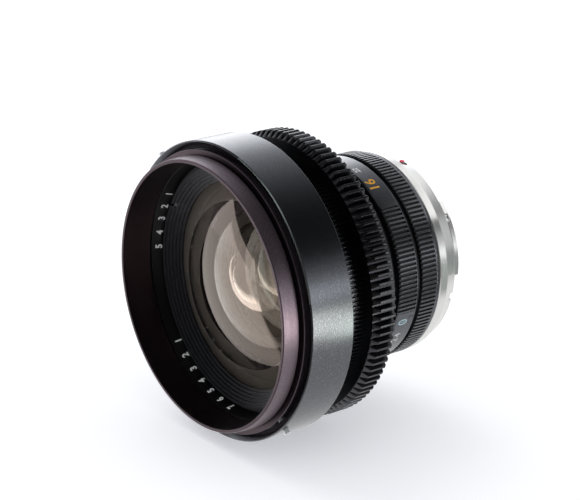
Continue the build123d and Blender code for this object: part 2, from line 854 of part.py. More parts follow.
# Front retainer: steps down to the glass, with two spanner notches
with BuildPart() as front_retainer:
    lip_rear = front_glass_front - 0.08
    retainer_front = lip_rear - retainer_lip - retainer_rise * (retainer_steps - 1)
    tread = (retainer_radius - retainer_lip_radius) / retainer_steps
    stairs = []
    for k in range(retainer_steps):
        stairs.append((retainer_radius - k * tread, retainer_front + k * retainer_rise))
        stairs.append((retainer_radius - (k + 1) * tread, retainer_front + k * retainer_rise))
    with BuildSketch(Plane.XY):
        Polygon(
            *stairs,
            (retainer_lip_radius, lip_rear),
            (front_bore + glass_fit, lip_rear),
            (front_bore + glass_fit, retainer_seat),
            (retainer_radius, retainer_seat),
            align=None,
        )
    revolve(axis=Axis.Y)
    with BuildSketch(station(retainer_front + 1.6 * retainer_rise)):
        for angle in retainer_notch_angles:
            with PolarLocations(retainer_radius, 1, start_angle=angle):
                Rectangle(2.4 * tread, retainer_notch)
    extrude(amount=2, mode=Mode.SUBTRACT)
front_retainer.part.label = "front_retainer"
export_step(front_retainer.part, "parts/front_retainer.step")

# Hood ring: a flared bezel with a shoulder that the front ring clamps
with BuildPart() as front_hood_ring:
    rim_outer = hood_clamp_radius - hood_rim_step
    rim_inner = rim_outer - hood_rim_wall
    bezel_rear = hood_rim + hood_nose_length - hood_groove
    throat_rear = hood_rim + hood_throat_length
    with BuildSketch(Plane.XY):
        Polygon(
            (rim_inner, hood_rim),
            (rim_outer - 0.15, hood_rim),
            (rim_outer, hood_rim + 0.15),
            (rim_outer, hood_rim + hood_lip),
            (rim_outer - hood_taper, bezel_rear),
            (rim_outer - hood_taper - 0.3, bezel_rear),
            (rim_outer - hood_taper - 0.3, hood_rim + hood_nose_length),
            (hood_clamp_radius, hood_rim + hood_nose_length),
            (hood_clamp_radius, hood_rear),
            (nose_radius + screw_fit, hood_rear),
            (nose_radius + screw_fit, throat_rear),
            (rim_inner - hood_throat_taper + 0.4, throat_rear),
            (rim_inner - hood_throat_taper, throat_rear - 0.4),
            align=None,
        )
    revolve(axis=Axis.Y)
front_hood_ring.part.label = "front_hood_ring"
export_step(front_hood_ring.part, "parts/front_hood_ring.step")

# Front ring: ninety millimetres across, dished in front and clamped on the hood ring
with BuildPart() as front_collar:
    with BuildSketch(Plane.XY):
        Polygon(
            (collar_bore + collar_recess, collar_front + collar_dish),
            (collar_radius - edge_break, collar_front),
            (collar_radius, collar_front + edge_break),
            (collar_radius, collar_rear - edge_break),
            (collar_radius - edge_break, collar_rear),
            (collar_rear_bore + 0.6, collar_rear),
            (collar_rear_bore, collar_rear - 0.6),
            (collar_rear_bore, hood_rear),
            (collar_bore, hood_rear),
            (collar_bore, collar_front + collar_recess_length),
            (collar_bore + collar_recess, collar_front + collar_recess_length),
            align=None,
        )
    revolve(axis=Axis.Y)
    for angle in collar_screw_angles:
        with Locations(outward(angle, collar_screw_y, collar_radius + 1)):
            Hole(collar_screw_radius + screw_fit, collar_wall + 2.5)
front_collar.part.label = "front_collar"
export_step(front_collar.part, "parts/front_collar.step")

# Grub screws that clamp the front ring, standing proud of it
with BuildPart() as collar_screws:
    screw_foot = hood_clamp_radius + screw_fit
    screw_top = collar_radius + collar_screw_stand
    for angle in collar_screw_angles:
        with BuildSketch(outward(angle, collar_screw_y, screw_foot)):
            Circle(collar_screw_radius)
        extrude(amount=screw_top - screw_foot)
        with BuildSketch(outward(angle, collar_screw_y, screw_top - 1.2)):
            RegularPolygon(0.55, 6)
        extrude(amount=1.2, mode=Mode.SUBTRACT)
collar_screws.part.label = "collar_screws"
export_step(collar_screws.part, "parts/collar_screws.step")

# Lens barrel: slides in the bearing tube and holds the inner glass and the iris
with BuildPart() as lens_barrel:
    second_bore = second_radius + glass_fit
    third_bore = third_radius + glass_fit
    second_thread = second_bore + 2.8
    third_thread = third_bore + 1.9
    third_clear = third_radius - 0.65
    with BuildSketch(Plane.XY):
        Polygon(
            (second_thread, lens_barrel_front),
            (front_thread - screw_fit, lens_barrel_front),
            (front_thread - screw_fit, carrier_rear),
            (slide_radius, carrier_rear),
            (slide_radius, lens_barrel_rear),
            (spigot_radius, lens_barrel_rear),
            (spigot_radius, lens_barrel_rear + spigot_length),
            (iris_outer + screw_fit, lens_barrel_rear + spigot_length),
            (iris_outer + screw_fit, iris_front),
            (third_thread, iris_front),
            (third_thread, third_retainer_front - 0.1),
            (third_bore, third_retainer_front - 0.1),
            (third_bore, third_land_rear),
            (third_clear, third_land_rear),
            (third_clear, third_land_rear - 1.9),
            (second_bore - 2, second_glass_rear + 1.8),
            (second_bore - 2, second_glass_rear),
            (second_bore, second_glass_rear),
            (second_bore, second_glass_front - 0.6),
            (second_thread, second_glass_front - 0.6),
            align=None,
        )
    revolve(axis=Axis.Y)
    with BuildSketch(station(lens_barrel_rear)):
        with PolarLocations(key_inner - key_floor + 2, 1, start_angle=key_angle):
            Rectangle(4, key_width)
    extrude(amount=key_length + lens_barrel_rear - key_rear + 0.5, mode=Mode.SUBTRACT)
lens_barrel.part.label = "lens_barrel"
export_step(lens_barrel.part, "parts/lens_barrel.step")

# Retainer of the second glass, with two spanner slots
with BuildPart() as second_retainer:
    seat = second_glass_front - 0.62
    with BuildSketch(Plane.XY):
        Polygon(
            (second_radius - 1.1, seat - 2.2),
            (second_thread - screw_fit, seat - 2.2),
            (second_thread - screw_fit, seat),
            (second_radius - 1.1, seat),
            align=None,
        )
    revolve(axis=Axis.Y)
    with BuildSketch(station(seat - 1.4)):
        with PolarLocations(second_thread - 1.5, 2):
            Rectangle(2, 1.4)
    extrude(amount=0.8, mode=Mode.SUBTRACT)
second_retainer.part.label = "second_retainer"
export_step(second_retainer.part, "parts/second_retainer.step")

# Retainer of the cemented pair in front of the iris
with BuildPart() as third_retainer:
    with BuildSketch(Plane.XY):
        Polygon(
            (third_radius - 0.95, third_retainer_front),
            (third_thread - screw_fit, third_retainer_front),
            (third_thread - screw_fit, third_retainer_front + 1.5),
            (third_radius - 0.95, third_retainer_front + 1.5),
            align=None,
        )
    revolve(axis=Axis.Y)
third_retainer.part.label = "third_retainer"
export_step(third_retainer.part, "parts/third_retainer.step")

# Iris housing: a cup whose floor carries the blade pivots
with BuildPart() as iris_housing:
    with BuildSketch(Plane.XY):
        Polygon(
            (open_radius, iris_front),
            (iris_outer, iris_front),
            (iris_outer, iris_rear),
            (iris_bore, iris_rear),
            (iris_bore, iris_front + iris_plate),
            (open_radius, iris_front + iris_plate),
            align=None,
        )
    revolve(axis=Axis.Y)
    with BuildSketch(station(iris_front + iris_plate)):
        with PolarLocations(blade_pivot_circle, blade_count):
            Circle(pin_radius + running_fit)
    extrude(amount=iris_plate, mode=Mode.SUBTRACT)
iris_housing.part.label = "iris_housing"
export_step(iris_housing.part, "parts/iris_housing.step")

# Iris blades: each lies in its own layer, with a pivot in the housing and a pin in the ring
for number, blade_angle in enumerate(blade_angles, start=1):
    layer_front = blade_front + (number - 1) * blade_layer
    layer_rear = layer_front + blade_thickness
    with BuildPart() as iris_blade:
        with BuildSketch(station(layer_rear)):
            with PolarLocations(0, 1, start_angle=blade_angle):
                add(ring_sector(blade_inner, blade_outer, -4, blade_span + 4))
                with Locations((blade_pivot_circle, 0), (cam_x, cam_z)):
                    Circle(ear_radius)
                Polygon(
                    (blade_outer - 2, -1),
                    (blade_pivot_circle, ear_radius),
                    (blade_pivot_circle + ear_radius, 0),
                    (cam_x + ear_radius, cam_z),
                    (cam_x - ear_radius, cam_z),
                    align=None,
                )
        extrude(amount=blade_thickness)
        with BuildSketch(station(layer_front)):
            with PolarLocations(0, 1, start_angle=blade_angle):
                with Locations((blade_pivot_circle, 0)):
                    Circle(pin_radius)
        extrude(amount=layer_front - iris_front - 0.1)
        with BuildSketch(station(drive_ring_rear - 0.1)):
            with PolarLocations(0, 1, start_angle=blade_angle):
                with Locations((cam_x, cam_z)):
                    Circle(pin_radius)
        extrude(amount=drive_ring_rear - 0.1 - layer_rear)
    iris_blade.part.label = f"iris_blade_{number}"
    export_step(iris_blade.part, f"parts/iris_blade_{number}.step")


def cam_slot_point(share):
    """Where the cam pin of the first blade lies on the drive ring, at a share of the turn."""
    swing = math.radians(share * blade_turn)
    arm_x = (cam_x - blade_pivot_circle) * math.cos(swing) - cam_z * math.sin(swing)
    arm_z = (cam_x - blade_pivot_circle) * math.sin(swing) + cam_z * math.cos(swing)
    radius = math.hypot(blade_pivot_circle + arm_x, arm_z)
    angle = math.degrees(math.atan2(arm_z, blade_pivot_circle + arm_x))
    return on_circle(radius, angle - share * aperture_turn)


# Drive ring: six slots, on arcs that turn each blade in step with the ring
with BuildLine() as cam_path:
    ThreePointArc(cam_slot_point(0), cam_slot_point(0.5), cam_slot_point(1))
with BuildPart() as iris_drive_ring:
    with BuildSketch(station(drive_ring_rear)):
        Circle(iris_bore - running_fit)
        Circle(drive_ring_inner, mode=Mode.SUBTRACT)
        with PolarLocations(0, blade_count):
            SlotArc(cam_path.line.edges()[0], 2 * (pin_radius + running_fit), mode=Mode.SUBTRACT)
        with PolarLocations(post_circle, 1, start_angle=post_angle):
            Circle(post_radius + screw_fit, mode=Mode.SUBTRACT)
    extrude(amount=drive_ring_thickness)
iris_drive_ring.part.label = "iris_drive_ring"
export_step(iris_drive_ring.part, "parts/iris_drive_ring.step")

# Post: stands on the drive ring and slides in the fork as the lens focuses
with BuildPart() as iris_post:
    with BuildSketch(station(fork_rear + focus_travel + 0.4)):
        with PolarLocations(post_circle, 1, start_angle=post_angle):
            Circle(post_radius)
    extrude(amount=fork_rear + focus_travel + 0.4 - drive_ring_front)
iris_post.part.label = "iris_post"
export_step(iris_post.part, "parts/iris_post.step")

# Ring that keeps the drive ring in the housing
with BuildPart() as iris_retaining_ring:
    with BuildSketch(Plane.XY):
        Polygon(
            (iris_bore - iris_retainer_width, drive_ring_rear + end_play),
            (iris_bore - screw_fit, drive_ring_rear + end_play),
            (iris_bore - screw_fit, iris_rear),
            (iris_bore - iris_retainer_width, iris_rear),
            align=None,
        )
    revolve(axis=Axis.Y)
iris_retaining_ring.part.label = "iris_retaining_ring"
export_step(iris_retaining_ring.part, "parts/iris_retaining_ring.step")

# Rear cell: threaded flange with a window for the post, and a stepped tube for the rear glass
with BuildPart() as rear_cell:
    with BuildSketch(Plane.XY):
        Polygon(
            (fifth_radius - spacer_wall, iris_rear),
            (iris_outer, iris_rear),
            (iris_outer, rear_cell_flange_rear),
            (rear_cell_radius, rear_cell_flange_rear),
            (rear_cell_radius, rear_cell_rear),
            (ninth_radius + 1.1, rear_cell_rear),
            (ninth_radius + 1.1, rear_thread_front),
            (ninth_radius + glass_fit, rear_thread_front),
            (ninth_radius + glass_fit, ninth_seat),
            (eighth_radius + glass_fit, ninth_seat),
            (eighth_radius + glass_fit, eighth_seat),
            (sixth_radius + glass_fit, eighth_seat),
            (sixth_radius + glass_fit, sixth_seat),
            (fifth_radius + glass_fit, sixth_seat),
            (fifth_radius + glass_fit, fifth_seat),
            (fifth_radius - spacer_wall, fifth_seat),
            align=None,
        )
    revolve(axis=Axis.Y)
    window_swing = math.degrees((post_radius + 0.35) / post_circle)
    with BuildSketch(station(rear_cell_flange_rear)):
        add(
            ring_sector(
                post_circle - post_radius - 0.35,
                post_circle + post_radius + 0.35,
                post_angle - window_swing,
                aperture_turn + 2 * window_swing,
            )
        )
    extrude(amount=rear_cell_flange, mode=Mode.SUBTRACT)
rear_cell.part.label = "rear_cell"
export_step(rear_cell.part, "parts/rear_cell.step")

# Spacers between the rear elements, each from one glass face to the next
spacers = {
    "rear_spacer_1": (
        fifth_radius,
        fifth_rear_vertex + sag(fifth_curves[1], fifth_radius - spacer_wall) + 0.05,
        sixth_seat,
    ),
    "rear_spacer_2": (
        sixth_radius,
        seventh_vertex + sag(seventh_curve, sixth_radius - spacer_wall) + 0.05,
        eighth_seat,
    ),
    "rear_spacer_3": (
        eighth_radius,
        eighth_rear_vertex + sag(eighth_curves[1], eighth_radius - spacer_wall) + 0.05,
        ninth_seat,
    ),
}
for name, (outer, front, rear) in spacers.items():
    with BuildPart() as spacer:
        with BuildSketch(Plane.XY):
            Polygon(
                (outer - spacer_wall, front),
                (outer, front),
                (outer, rear),
                (outer - spacer_wall, rear),
                align=None,
            )
        revolve(axis=Axis.Y)
    spacer.part.label = name
    export_step(spacer.part, f"parts/{name}.step")

# Rear retainer: bevelled to the last glass face
with BuildPart() as rear_retainer:
    retainer_clear = ninth_radius - 0.9
    retainer_bevel = ninth_rear_vertex + sag(ninth_curves[1], retainer_clear) + 0.08
    with BuildSketch(Plane.XY):
        Polygon(
            (retainer_clear, retainer_bevel),
            (ninth_radius, rear_thread_front),
            (ninth_radius + 1.08, rear_thread_front),
            (ninth_radius + 1.08, rear_cell_rear - 0.2),
            (retainer_clear, rear_cell_rear - 0.2),
            align=None,
        )
    revolve(axis=Axis.Y)
rear_retainer.part.label = "rear_retainer"
export_step(rear_retainer.part, "parts/rear_retainer.step")

# Glass: nine elements, two pairs of them cemented
elements = {
    "front_element": (
        front_glass_radius,
        (front_vertex, front_curves[0], front_glass_radius),
        (front_hollow_vertex, front_curves[1], front_hollow),
    ),
    "second_element": (
        second_radius,
        (second_vertex, second_curves[0], second_radius),
        (second_hollow_vertex, second_curves[1], second_hollow),
    ),
    "third_element": (
        third_radius,
        (third_vertex, third_curves[0], third_radius),
        (third_rear_vertex, third_curves[1], third_radius),
    ),
    "fourth_element": (
        third_radius,
        (third_rear_vertex, third_curves[1], third_radius),
        (fourth_vertex, fourth_curve, third_radius),
    ),
    "fifth_element": (
        fifth_radius,
        (fifth_vertex, fifth_curves[0], fifth_radius),
        (fifth_rear_vertex, fifth_curves[1], fifth_radius),
    ),
    "sixth_element": (
        sixth_radius,
        (sixth_vertex, sixth_curves[0], sixth_hollow),
        (sixth_rear_vertex, sixth_curves[1], sixth_radius),
    ),
    "seventh_element": (
        sixth_radius,
        (sixth_rear_vertex, sixth_curves[1], sixth_radius),
        (seventh_vertex, seventh_curve, sixth_radius),
    ),
    "eighth_element": (
        eighth_radius,
        (eighth_vertex, eighth_curves[0], eighth_hollow),
        (eighth_rear_vertex, eighth_curves[1], eighth_radius),
    ),
    "ninth_element": (
        ninth_radius,
        (ninth_vertex, ninth_curves[0], ninth_hollow),
        (ninth_rear_vertex, ninth_curves[1], ninth_radius),
    ),
}
for name, (rim, front, rear) in elements.items():
    with BuildPart() as element:
        with BuildSketch(Plane.XY):
            add(glass_section(rim, front, rear))
        revolve(axis=Axis.Y)
    element.part.label = name
    export_step(element.part, f"parts/{name}.step")

print(f"length from rim to register face {-hood_rim:.2f}, front ring {2 * collar_radius:.2f} across")
print(f"gear of {gear_teeth} teeth, {2 * gear_tip:.2f} across the tips")
print(f"blades swing {blade_turn:.3f} degrees, {blade_turn / aperture_turn:.5f} of the ring's turn")
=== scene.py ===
"""Wide-angle prime lens on a white ground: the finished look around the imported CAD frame."""

import json

import math

import bmesh
import bpy
from mathutils import Matrix, Vector

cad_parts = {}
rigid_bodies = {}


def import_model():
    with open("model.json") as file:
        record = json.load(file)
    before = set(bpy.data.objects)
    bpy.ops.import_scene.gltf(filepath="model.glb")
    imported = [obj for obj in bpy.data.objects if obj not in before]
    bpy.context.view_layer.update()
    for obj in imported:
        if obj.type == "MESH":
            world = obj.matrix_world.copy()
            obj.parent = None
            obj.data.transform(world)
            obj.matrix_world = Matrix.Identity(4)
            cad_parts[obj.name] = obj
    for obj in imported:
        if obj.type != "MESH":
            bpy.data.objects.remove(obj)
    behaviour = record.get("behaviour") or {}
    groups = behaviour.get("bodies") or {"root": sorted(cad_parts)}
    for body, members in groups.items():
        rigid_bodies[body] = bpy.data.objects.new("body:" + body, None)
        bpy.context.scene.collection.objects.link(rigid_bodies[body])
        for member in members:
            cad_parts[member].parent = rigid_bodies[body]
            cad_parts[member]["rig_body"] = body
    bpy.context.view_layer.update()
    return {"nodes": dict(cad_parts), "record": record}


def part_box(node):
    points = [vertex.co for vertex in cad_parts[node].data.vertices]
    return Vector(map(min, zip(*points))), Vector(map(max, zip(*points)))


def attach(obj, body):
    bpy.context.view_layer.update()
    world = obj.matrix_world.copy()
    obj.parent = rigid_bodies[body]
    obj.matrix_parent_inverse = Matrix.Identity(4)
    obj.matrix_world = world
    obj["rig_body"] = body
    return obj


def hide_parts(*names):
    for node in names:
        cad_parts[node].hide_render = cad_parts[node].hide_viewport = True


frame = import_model()
MM = 0.001


# Small helpers for materials

def linear(colour):
    """sRGB hex colour as linear RGBA."""
    values = [int(colour[i:i + 2], 16) / 255 for i in (1, 3, 5)]
    return [v / 12.92 if v <= 0.04045 else ((v + 0.055) / 1.055) ** 2.4 for v in values] + [1]


def add(tree, kind, settings=None, links=None):
    """Adds a node. Settings go to its sockets or its own properties, links come from other sockets."""
    made = tree.nodes.new(kind)
    for key, value in (settings or {}).items():
        if isinstance(key, int) or key in made.inputs:
            made.inputs[key].default_value = value
        else:
            setattr(made, key, value)
    for key, source in (links or {}).items():
        tree.links.new(source, made.inputs[key])
    return made


def new_material(name):
    """Empty material and its tree, with an output node."""
    material = bpy.data.materials.new(name)
    material.use_nodes = True
    tree = material.node_tree
    tree.nodes.clear()
    return material, tree, tree.nodes.new("ShaderNodeOutputMaterial")


def turned_spot(tree, around):
    """Radius, length and angle about the optical axis as a vector, and the plain place, in metres.
    A small share of the angle makes noise run in rings, as a lathe tool leaves it."""
    spot = add(tree, "ShaderNodeTexCoord")
    parts = add(tree, "ShaderNodeSeparateXYZ", links={"Vector": spot.outputs["Object"]})
    across = add(tree, "ShaderNodeCombineXYZ", links={"X": parts.outputs["X"], "Z": parts.outputs["Z"]})
    radius = add(tree, "ShaderNodeVectorMath", {"operation": "LENGTH"}, {0: across.outputs["Vector"]})
    angle = add(
        tree,
        "ShaderNodeMath",
        {"operation": "ARCTAN2"},
        {0: parts.outputs["Z"], 1: parts.outputs["X"]},
    )
    squeezed = add(tree, "ShaderNodeMath", {"operation": "MULTIPLY", 1: around}, {0: angle.outputs["Value"]})
    turned = add(
        tree,
        "ShaderNodeCombineXYZ",
        links={"X": radius.outputs["Value"], "Y": parts.outputs["Y"], "Z": squeezed.outputs["Value"]},
    )
    return turned.outputs["Vector"], spot.outputs["Object"]


# Noise scales are counts in a metre. Ring lines make this share of the change in sheen, patches the rest
line_share = 0.6
patch_scale = 90.0
fleck_scale = 2600.0
ring_turn_share = 0.0004


def turned_metal(
    name, colour, roughness, ring_pitch, ring_depth, fleck=0.0, fleck_colour=None, spread=0.06, metallic=1.0
):
    """Metal with rings left by turning. Pitch and depth are in mm. Fleck is the share of a fine mottle."""
    material, tree, output = new_material(name)
    rings, spot = turned_spot(tree, ring_turn_share)
    line_scale = 1 / (ring_pitch * MM)
    lines = add(tree, "ShaderNodeTexNoise", {"Scale": line_scale, "Detail": 2.0}, {"Vector": rings})
    patches = add(tree, "ShaderNodeTexNoise", {"Scale": patch_scale, "Detail": 3.0}, {"Vector": spot})
    line_part = add(
        tree,
        "ShaderNodeMath",
        {"operation": "MULTIPLY", 1: line_share},
        {0: lines.outputs["Fac"]},
    )
    both = add(
        tree,
        "ShaderNodeMath",
        {"operation": "MULTIPLY_ADD", 1: 1 - line_share},
        {0: patches.outputs["Fac"], 2: line_part.outputs["Value"]},
    )
    rough = add(
        tree,
        "ShaderNodeMapRange",
        {"From Min": 0.3, "From Max": 0.7, "To Min": roughness - spread, "To Max": roughness + spread},
        {"Value": both.outputs["Value"]},
    )
    bump = add(
        tree,
        "ShaderNodeBump",
        {"Strength": 1.0, "Distance": ring_depth * MM},
        {"Height": lines.outputs["Fac"]},
    )
    shader = add(
        tree,
        "ShaderNodeBsdfPrincipled",
        {"Metallic": metallic, "Base Color": linear(colour)},
        {"Roughness": rough.outputs["Result"], "Normal": bump.outputs["Normal"]},
    )
    if fleck:
        grain = add(tree, "ShaderNodeTexNoise", {"Scale": fleck_scale, "Detail": 1.0}, {"Vector": spot})
        share = add(
            tree,
            "ShaderNodeMapRange",
            {"From Min": 0.5, "From Max": 0.75, "To Min": 0.0, "To Max": fleck},
            {"Value": grain.outputs["Fac"]},
        )
        tint = add(
            tree,
            "ShaderNodeMix",
            {"data_type": "RGBA", 6: linear(colour), 7: linear(fleck_colour)},
            {0: share.outputs["Result"]},
        )
        tree.links.new(tint.outputs[2], shader.inputs["Base Color"])
    tree.links.new(shader.outputs["BSDF"], output.inputs["Surface"])
    return material


# Materials

materials = {}

# Black anodised aluminium, fine turned: a dark grey metal sheen with faint rings
materials["anodised_black_satin"] = turned_metal(
    "black anodised aluminium, fine turned",
    "#595b5f",
    roughness=0.25,
    ring_pitch=0.35,
    ring_depth=0.002,
    fleck=0.5,
    fleck_colour="#7f8388",
    spread=0.02,
)

# Hood ring, anodised over a blasted surface: a violet cast and a sparkle of fine grain
materials["anodised_hood"] = turned_metal(
    "violet black anodised aluminium, blasted",
    "#6f636b",
    roughness=0.38,
    ring_pitch=0.5,
    ring_depth=0.002,
    fleck=0.4,
    fleck_colour="#9c8f98",
    metallic=0.86,
)

# Edge of the front ring, rubbed bare by handling: a pale line that catches light, laid only where it shines,
# so partly a painted highlight
rubbed_edge_highlight = turned_metal(
    "rubbed aluminium edge with painted highlight", "#b9c4c0", roughness=0.3, ring_pitch=0.3, ring_depth=0.002
)

# Inside of the hood, threaded: a darker copy of the hood's anodising, painted shade on the inward faces and
# the lip's front face
hood_painted_shade = turned_metal(
    "hood anodising, darker copy as painted shade", "#4b4045", roughness=0.36, ring_pitch=0.5, ring_depth=0.002, metallic=0.98
)

# Matt black anodised inside parts: nearly no sheen, so that the glass looks deep
materials["anodised_black_matt"] = turned_metal(
    "matt black anodised aluminium",
    "#232327",
    roughness=0.36,
    ring_pitch=0.4,
    ring_depth=0.003,
    metallic=0.1,
)

# Gear, anodised after cutting: the teeth catch light on their bevels
materials["gear_black"] = turned_metal(
    "black anodised aluminium, cut teeth", "#454549", roughness=0.3, ring_pitch=0.3, ring_depth=0.003
)

# Grooves between grip ribs: rough from the cutter and darker than the rib tops, painted shade in the hollows,
# so that the ribs stand out
groove_painted_shade = turned_metal(
    "black anodised aluminium, groove painted shade",
    "#18181b",
    roughness=0.45,
    ring_pitch=0.4,
    ring_depth=0.003,
    metallic=0.5,
)

# Turned steel screws and pins: bright with sharp reflections
materials["steel"] = turned_metal(
    "turned steel", "#f0f2f4", roughness=0.2, ring_pitch=0.3, ring_depth=0.003, metallic=0.5
)

# Satin chrome on brass: bright rings with a soft edge to what they mirror
materials["chrome"] = turned_metal(
    "satin chrome on turned brass",
    "#dddddb",
    roughness=0.22,
    ring_pitch=0.3,
    ring_depth=0.002,
    metallic=0.82,
)

# Turned brass of the helicoid and drive ring: warm, a little dull
materials["brass"] = turned_metal("turned brass", "#c9a561", roughness=0.28, ring_pitch=0.3, ring_depth=0.004)

# Blackened spring steel blades: thin, dark and slightly bluish
materials["blade_steel"] = turned_metal(
    "blackened spring steel", "#4a4c50", roughness=0.34, ring_pitch=0.4, ring_depth=0.002
)


mottle_scale = 1800.0


def painted(name, colour, roughness, mottle):
    """Paint or plastic whose sheen is slightly uneven."""
    material, tree, output = new_material(name)
    spot = add(tree, "ShaderNodeTexCoord")
    patches = add(
        tree,
        "ShaderNodeTexNoise",
        {"Scale": mottle_scale, "Detail": 2.0},
        {"Vector": spot.outputs["Object"]},
    )
    rough = add(
        tree,
        "ShaderNodeMapRange",
        {"To Min": roughness - mottle, "To Max": roughness + mottle},
        {"Value": patches.outputs["Fac"]},
    )
    shader = add(
        tree,
        "ShaderNodeBsdfPrincipled",
        {"Base Color": linear(colour)},
        {"Roughness": rough.outputs["Result"]},
    )
    tree.links.new(shader.outputs["BSDF"], output.inputs["Surface"])
    return material


# Moulded red plastic of the mounting dot: smooth and glossy
materials["red_plastic"] = painted("red moulded plastic", "#e03050", roughness=0.3, mottle=0.05)

# Number ring, lacquered black so that its white figures stand out
black_lacquer = painted("black lacquer", "#08080a", roughness=0.35, mottle=0.08)

# Paint rubbed into engraved marks: flat and matt against the sheen of the metal
white_paint = painted("white engraving paint", "#e4e6e4", roughness=0.6, mottle=0.1)
yellow_paint = painted("yellow engraving paint", "#d99a1e", roughness=0.6, mottle=0.1)
blue_paint = painted("pale blue engraving paint", "#c6e4ec", roughness=0.6, mottle=0.1)


# A face whose normal has less than edge_slope along the axis is the glass's ground edge. One with more than
# seat_slope is a flat seat, if it lies further out than seat_from
edge_slope = 0.5
seat_slope = 0.99995
seat_from = 5 * MM
stroke_scale = 160.0
shadow_pass = 0.9


def coated_glass(name, index, tint, coating, pale_paint_as_light):
    """Polished optical glass. Its ground edges and flat seats are painted, as lens makers do, in a pale tone
    that is painted light, and light reaches what lies behind it."""
    material, tree, output = new_material(name)
    shader = add(
        tree,
        "ShaderNodeBsdfPrincipled",
        {
            "Base Color": linear(tint),
            "IOR": index,
            "Transmission Weight": 1.0,
            "Roughness": 0.0,
            "Specular Tint": linear(coating),
        },
    )
    face = add(tree, "ShaderNodeNewGeometry")
    parts = add(tree, "ShaderNodeSeparateXYZ", links={"Vector": face.outputs["True Normal"]})
    slope = add(tree, "ShaderNodeMath", {"operation": "ABSOLUTE"}, {0: parts.outputs["Y"]})
    edge = add(
        tree,
        "ShaderNodeMath",
        {"operation": "LESS_THAN", 1: edge_slope},
        {0: slope.outputs["Value"]},
    )
    flat = add(
        tree,
        "ShaderNodeMath",
        {"operation": "GREATER_THAN", 1: seat_slope},
        {0: slope.outputs["Value"]},
    )
    turned, spot = turned_spot(tree, 1.0)
    radius = add(tree, "ShaderNodeSeparateXYZ", links={"Vector": turned})
    outside = add(
        tree,
        "ShaderNodeMath",
        {"operation": "GREATER_THAN", 1: seat_from},
        {0: radius.outputs["X"]},
    )
    seat = add(
        tree,
        "ShaderNodeMath",
        {"operation": "MULTIPLY"},
        {0: flat.outputs["Value"], 1: outside.outputs["Value"]},
    )
    painted_share = add(
        tree,
        "ShaderNodeMath",
        {"operation": "MAXIMUM"},
        {0: edge.outputs["Value"], 1: seat.outputs["Value"]},
    )
    strokes = add(tree, "ShaderNodeTexNoise", {"Scale": stroke_scale, "Detail": 3.0}, {"Vector": spot})
    uneven = add(
        tree,
        "ShaderNodeMapRange",
        {"From Min": 0.3, "From Max": 0.7, "To Min": 0.5, "To Max": 0.75},
        {"Value": strokes.outputs["Fac"]},
    )
    paint = add(
        tree,
        "ShaderNodeBsdfPrincipled",
        {"Base Color": linear(pale_paint_as_light)},
        {"Roughness": uneven.outputs["Result"]},
    )
    cut = add(
        tree,
        "ShaderNodeMixShader",
        links={0: painted_share.outputs["Value"], 1: shader.outputs["BSDF"], 2: paint.outputs["BSDF"]},
    )
    path = add(tree, "ShaderNodeLightPath")
    passes = add(tree, "ShaderNodeBsdfTransparent", {"Color": (shadow_pass, shadow_pass, shadow_pass, 1)})
    lit = add(
        tree,
        "ShaderNodeMixShader",
        links={0: path.outputs["Is Shadow Ray"], 1: cut.outputs["Shader"], 2: passes.outputs["BSDF"]},
    )
    tree.links.new(lit.outputs["Shader"], output.inputs["Surface"])
    return material


# Optical glass, polished and coated: clear, with beige veils where its faces mirror the white paper. Its pale
# edge paint is painted light
materials["coated_glass"] = coated_glass(
    "coated optical glass", index=1.86, tint="#f6f4ef", coating="#ffe6d4", pale_paint_as_light="#b0a59a"
)

slots = {item["node"]: item["material_slot"] for item in frame["record"]["subparts"]}
for name, thing in frame["nodes"].items():
    thing.data.materials.clear()
    thing.data.materials.append(materials[slots[name]])


# Turned and ribbed rings. Sizes are in mm and angles in degrees

sharp_angle = 48
ring_count = 360


def reach(node):
    """Front station, rear station and largest radius of a turned CAD node, in mm."""
    low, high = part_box(node)
    return low.y / MM, high.y / MM, max(high.x, high.z, -low.x, -low.z) / MM


def eased(outline, size):
    """Outline with each corner cut into a small round of three points. Size is the round's reach in mm."""
    softened = []
    count = len(outline)
    for i, corner in enumerate(outline):
        here = Vector(corner)
        before = Vector(outline[i - 1]) - here
        after = Vector(outline[(i + 1) % count]) - here
        back = min(size, 0.45 * before.length)
        ahead = min(size, 0.45 * after.length)
        start = here + before.normalized() * back
        end = here + after.normalized() * ahead
        softened += [tuple(start), tuple(0.25 * start + 0.5 * here + 0.25 * end), tuple(end)]
    return softened


def ring_mesh(name, columns):
    """Mesh of a closed ring from outlines of (radius, y) in mm at angles in degrees."""
    points = len(columns[0][1])
    verts = []
    for angle, outline in columns:
        turn = math.radians(angle)
        verts += [(r * math.cos(turn) * MM, y * MM, r * math.sin(turn) * MM) for r, y in outline]
    faces = []
    for c in range(len(columns)):
        here = c * points
        there = (c + 1) % len(columns) * points
        for p in range(points):
            q = (p + 1) % points
            faces.append((here + p, here + q, there + q, there + p))
    mesh = bpy.data.meshes.new(name)
    mesh.from_pydata(verts, [], faces)
    outline = columns[0][1]
    area = sum(
        outline[i - 1][0] * outline[i][1] - outline[i][0] * outline[i - 1][1] for i in range(len(outline))
    )
    if area < 0:
        mesh.flip_normals()
    mesh.shade_smooth()
    mesh.set_sharp_from_angle(angle=math.radians(sharp_angle))
    return mesh


def dress(name, mesh, node, material=None):
    """Piece from a mesh, with the look and the body of the CAD node that it stands for."""
    made = bpy.data.objects.new(name, mesh)
    bpy.context.scene.collection.objects.link(made)
    made.data.materials.append(material or materials[slots[node]])
    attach(made, frame["nodes"][node]["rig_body"])
    return made


def ring(name, columns, node):
    """Ring that replaces a CAD node."""
    made = dress(name, ring_mesh(name, columns), node)
    made.modifiers.new("flat faces stay flat", "WEIGHTED_NORMAL").keep_sharp = True
    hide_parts(node)
    return made


def plain(outline, count=ring_count):
    """Columns of a ring that is the same all round."""
    return [(k * 360 / count, outline) for k in range(count)]


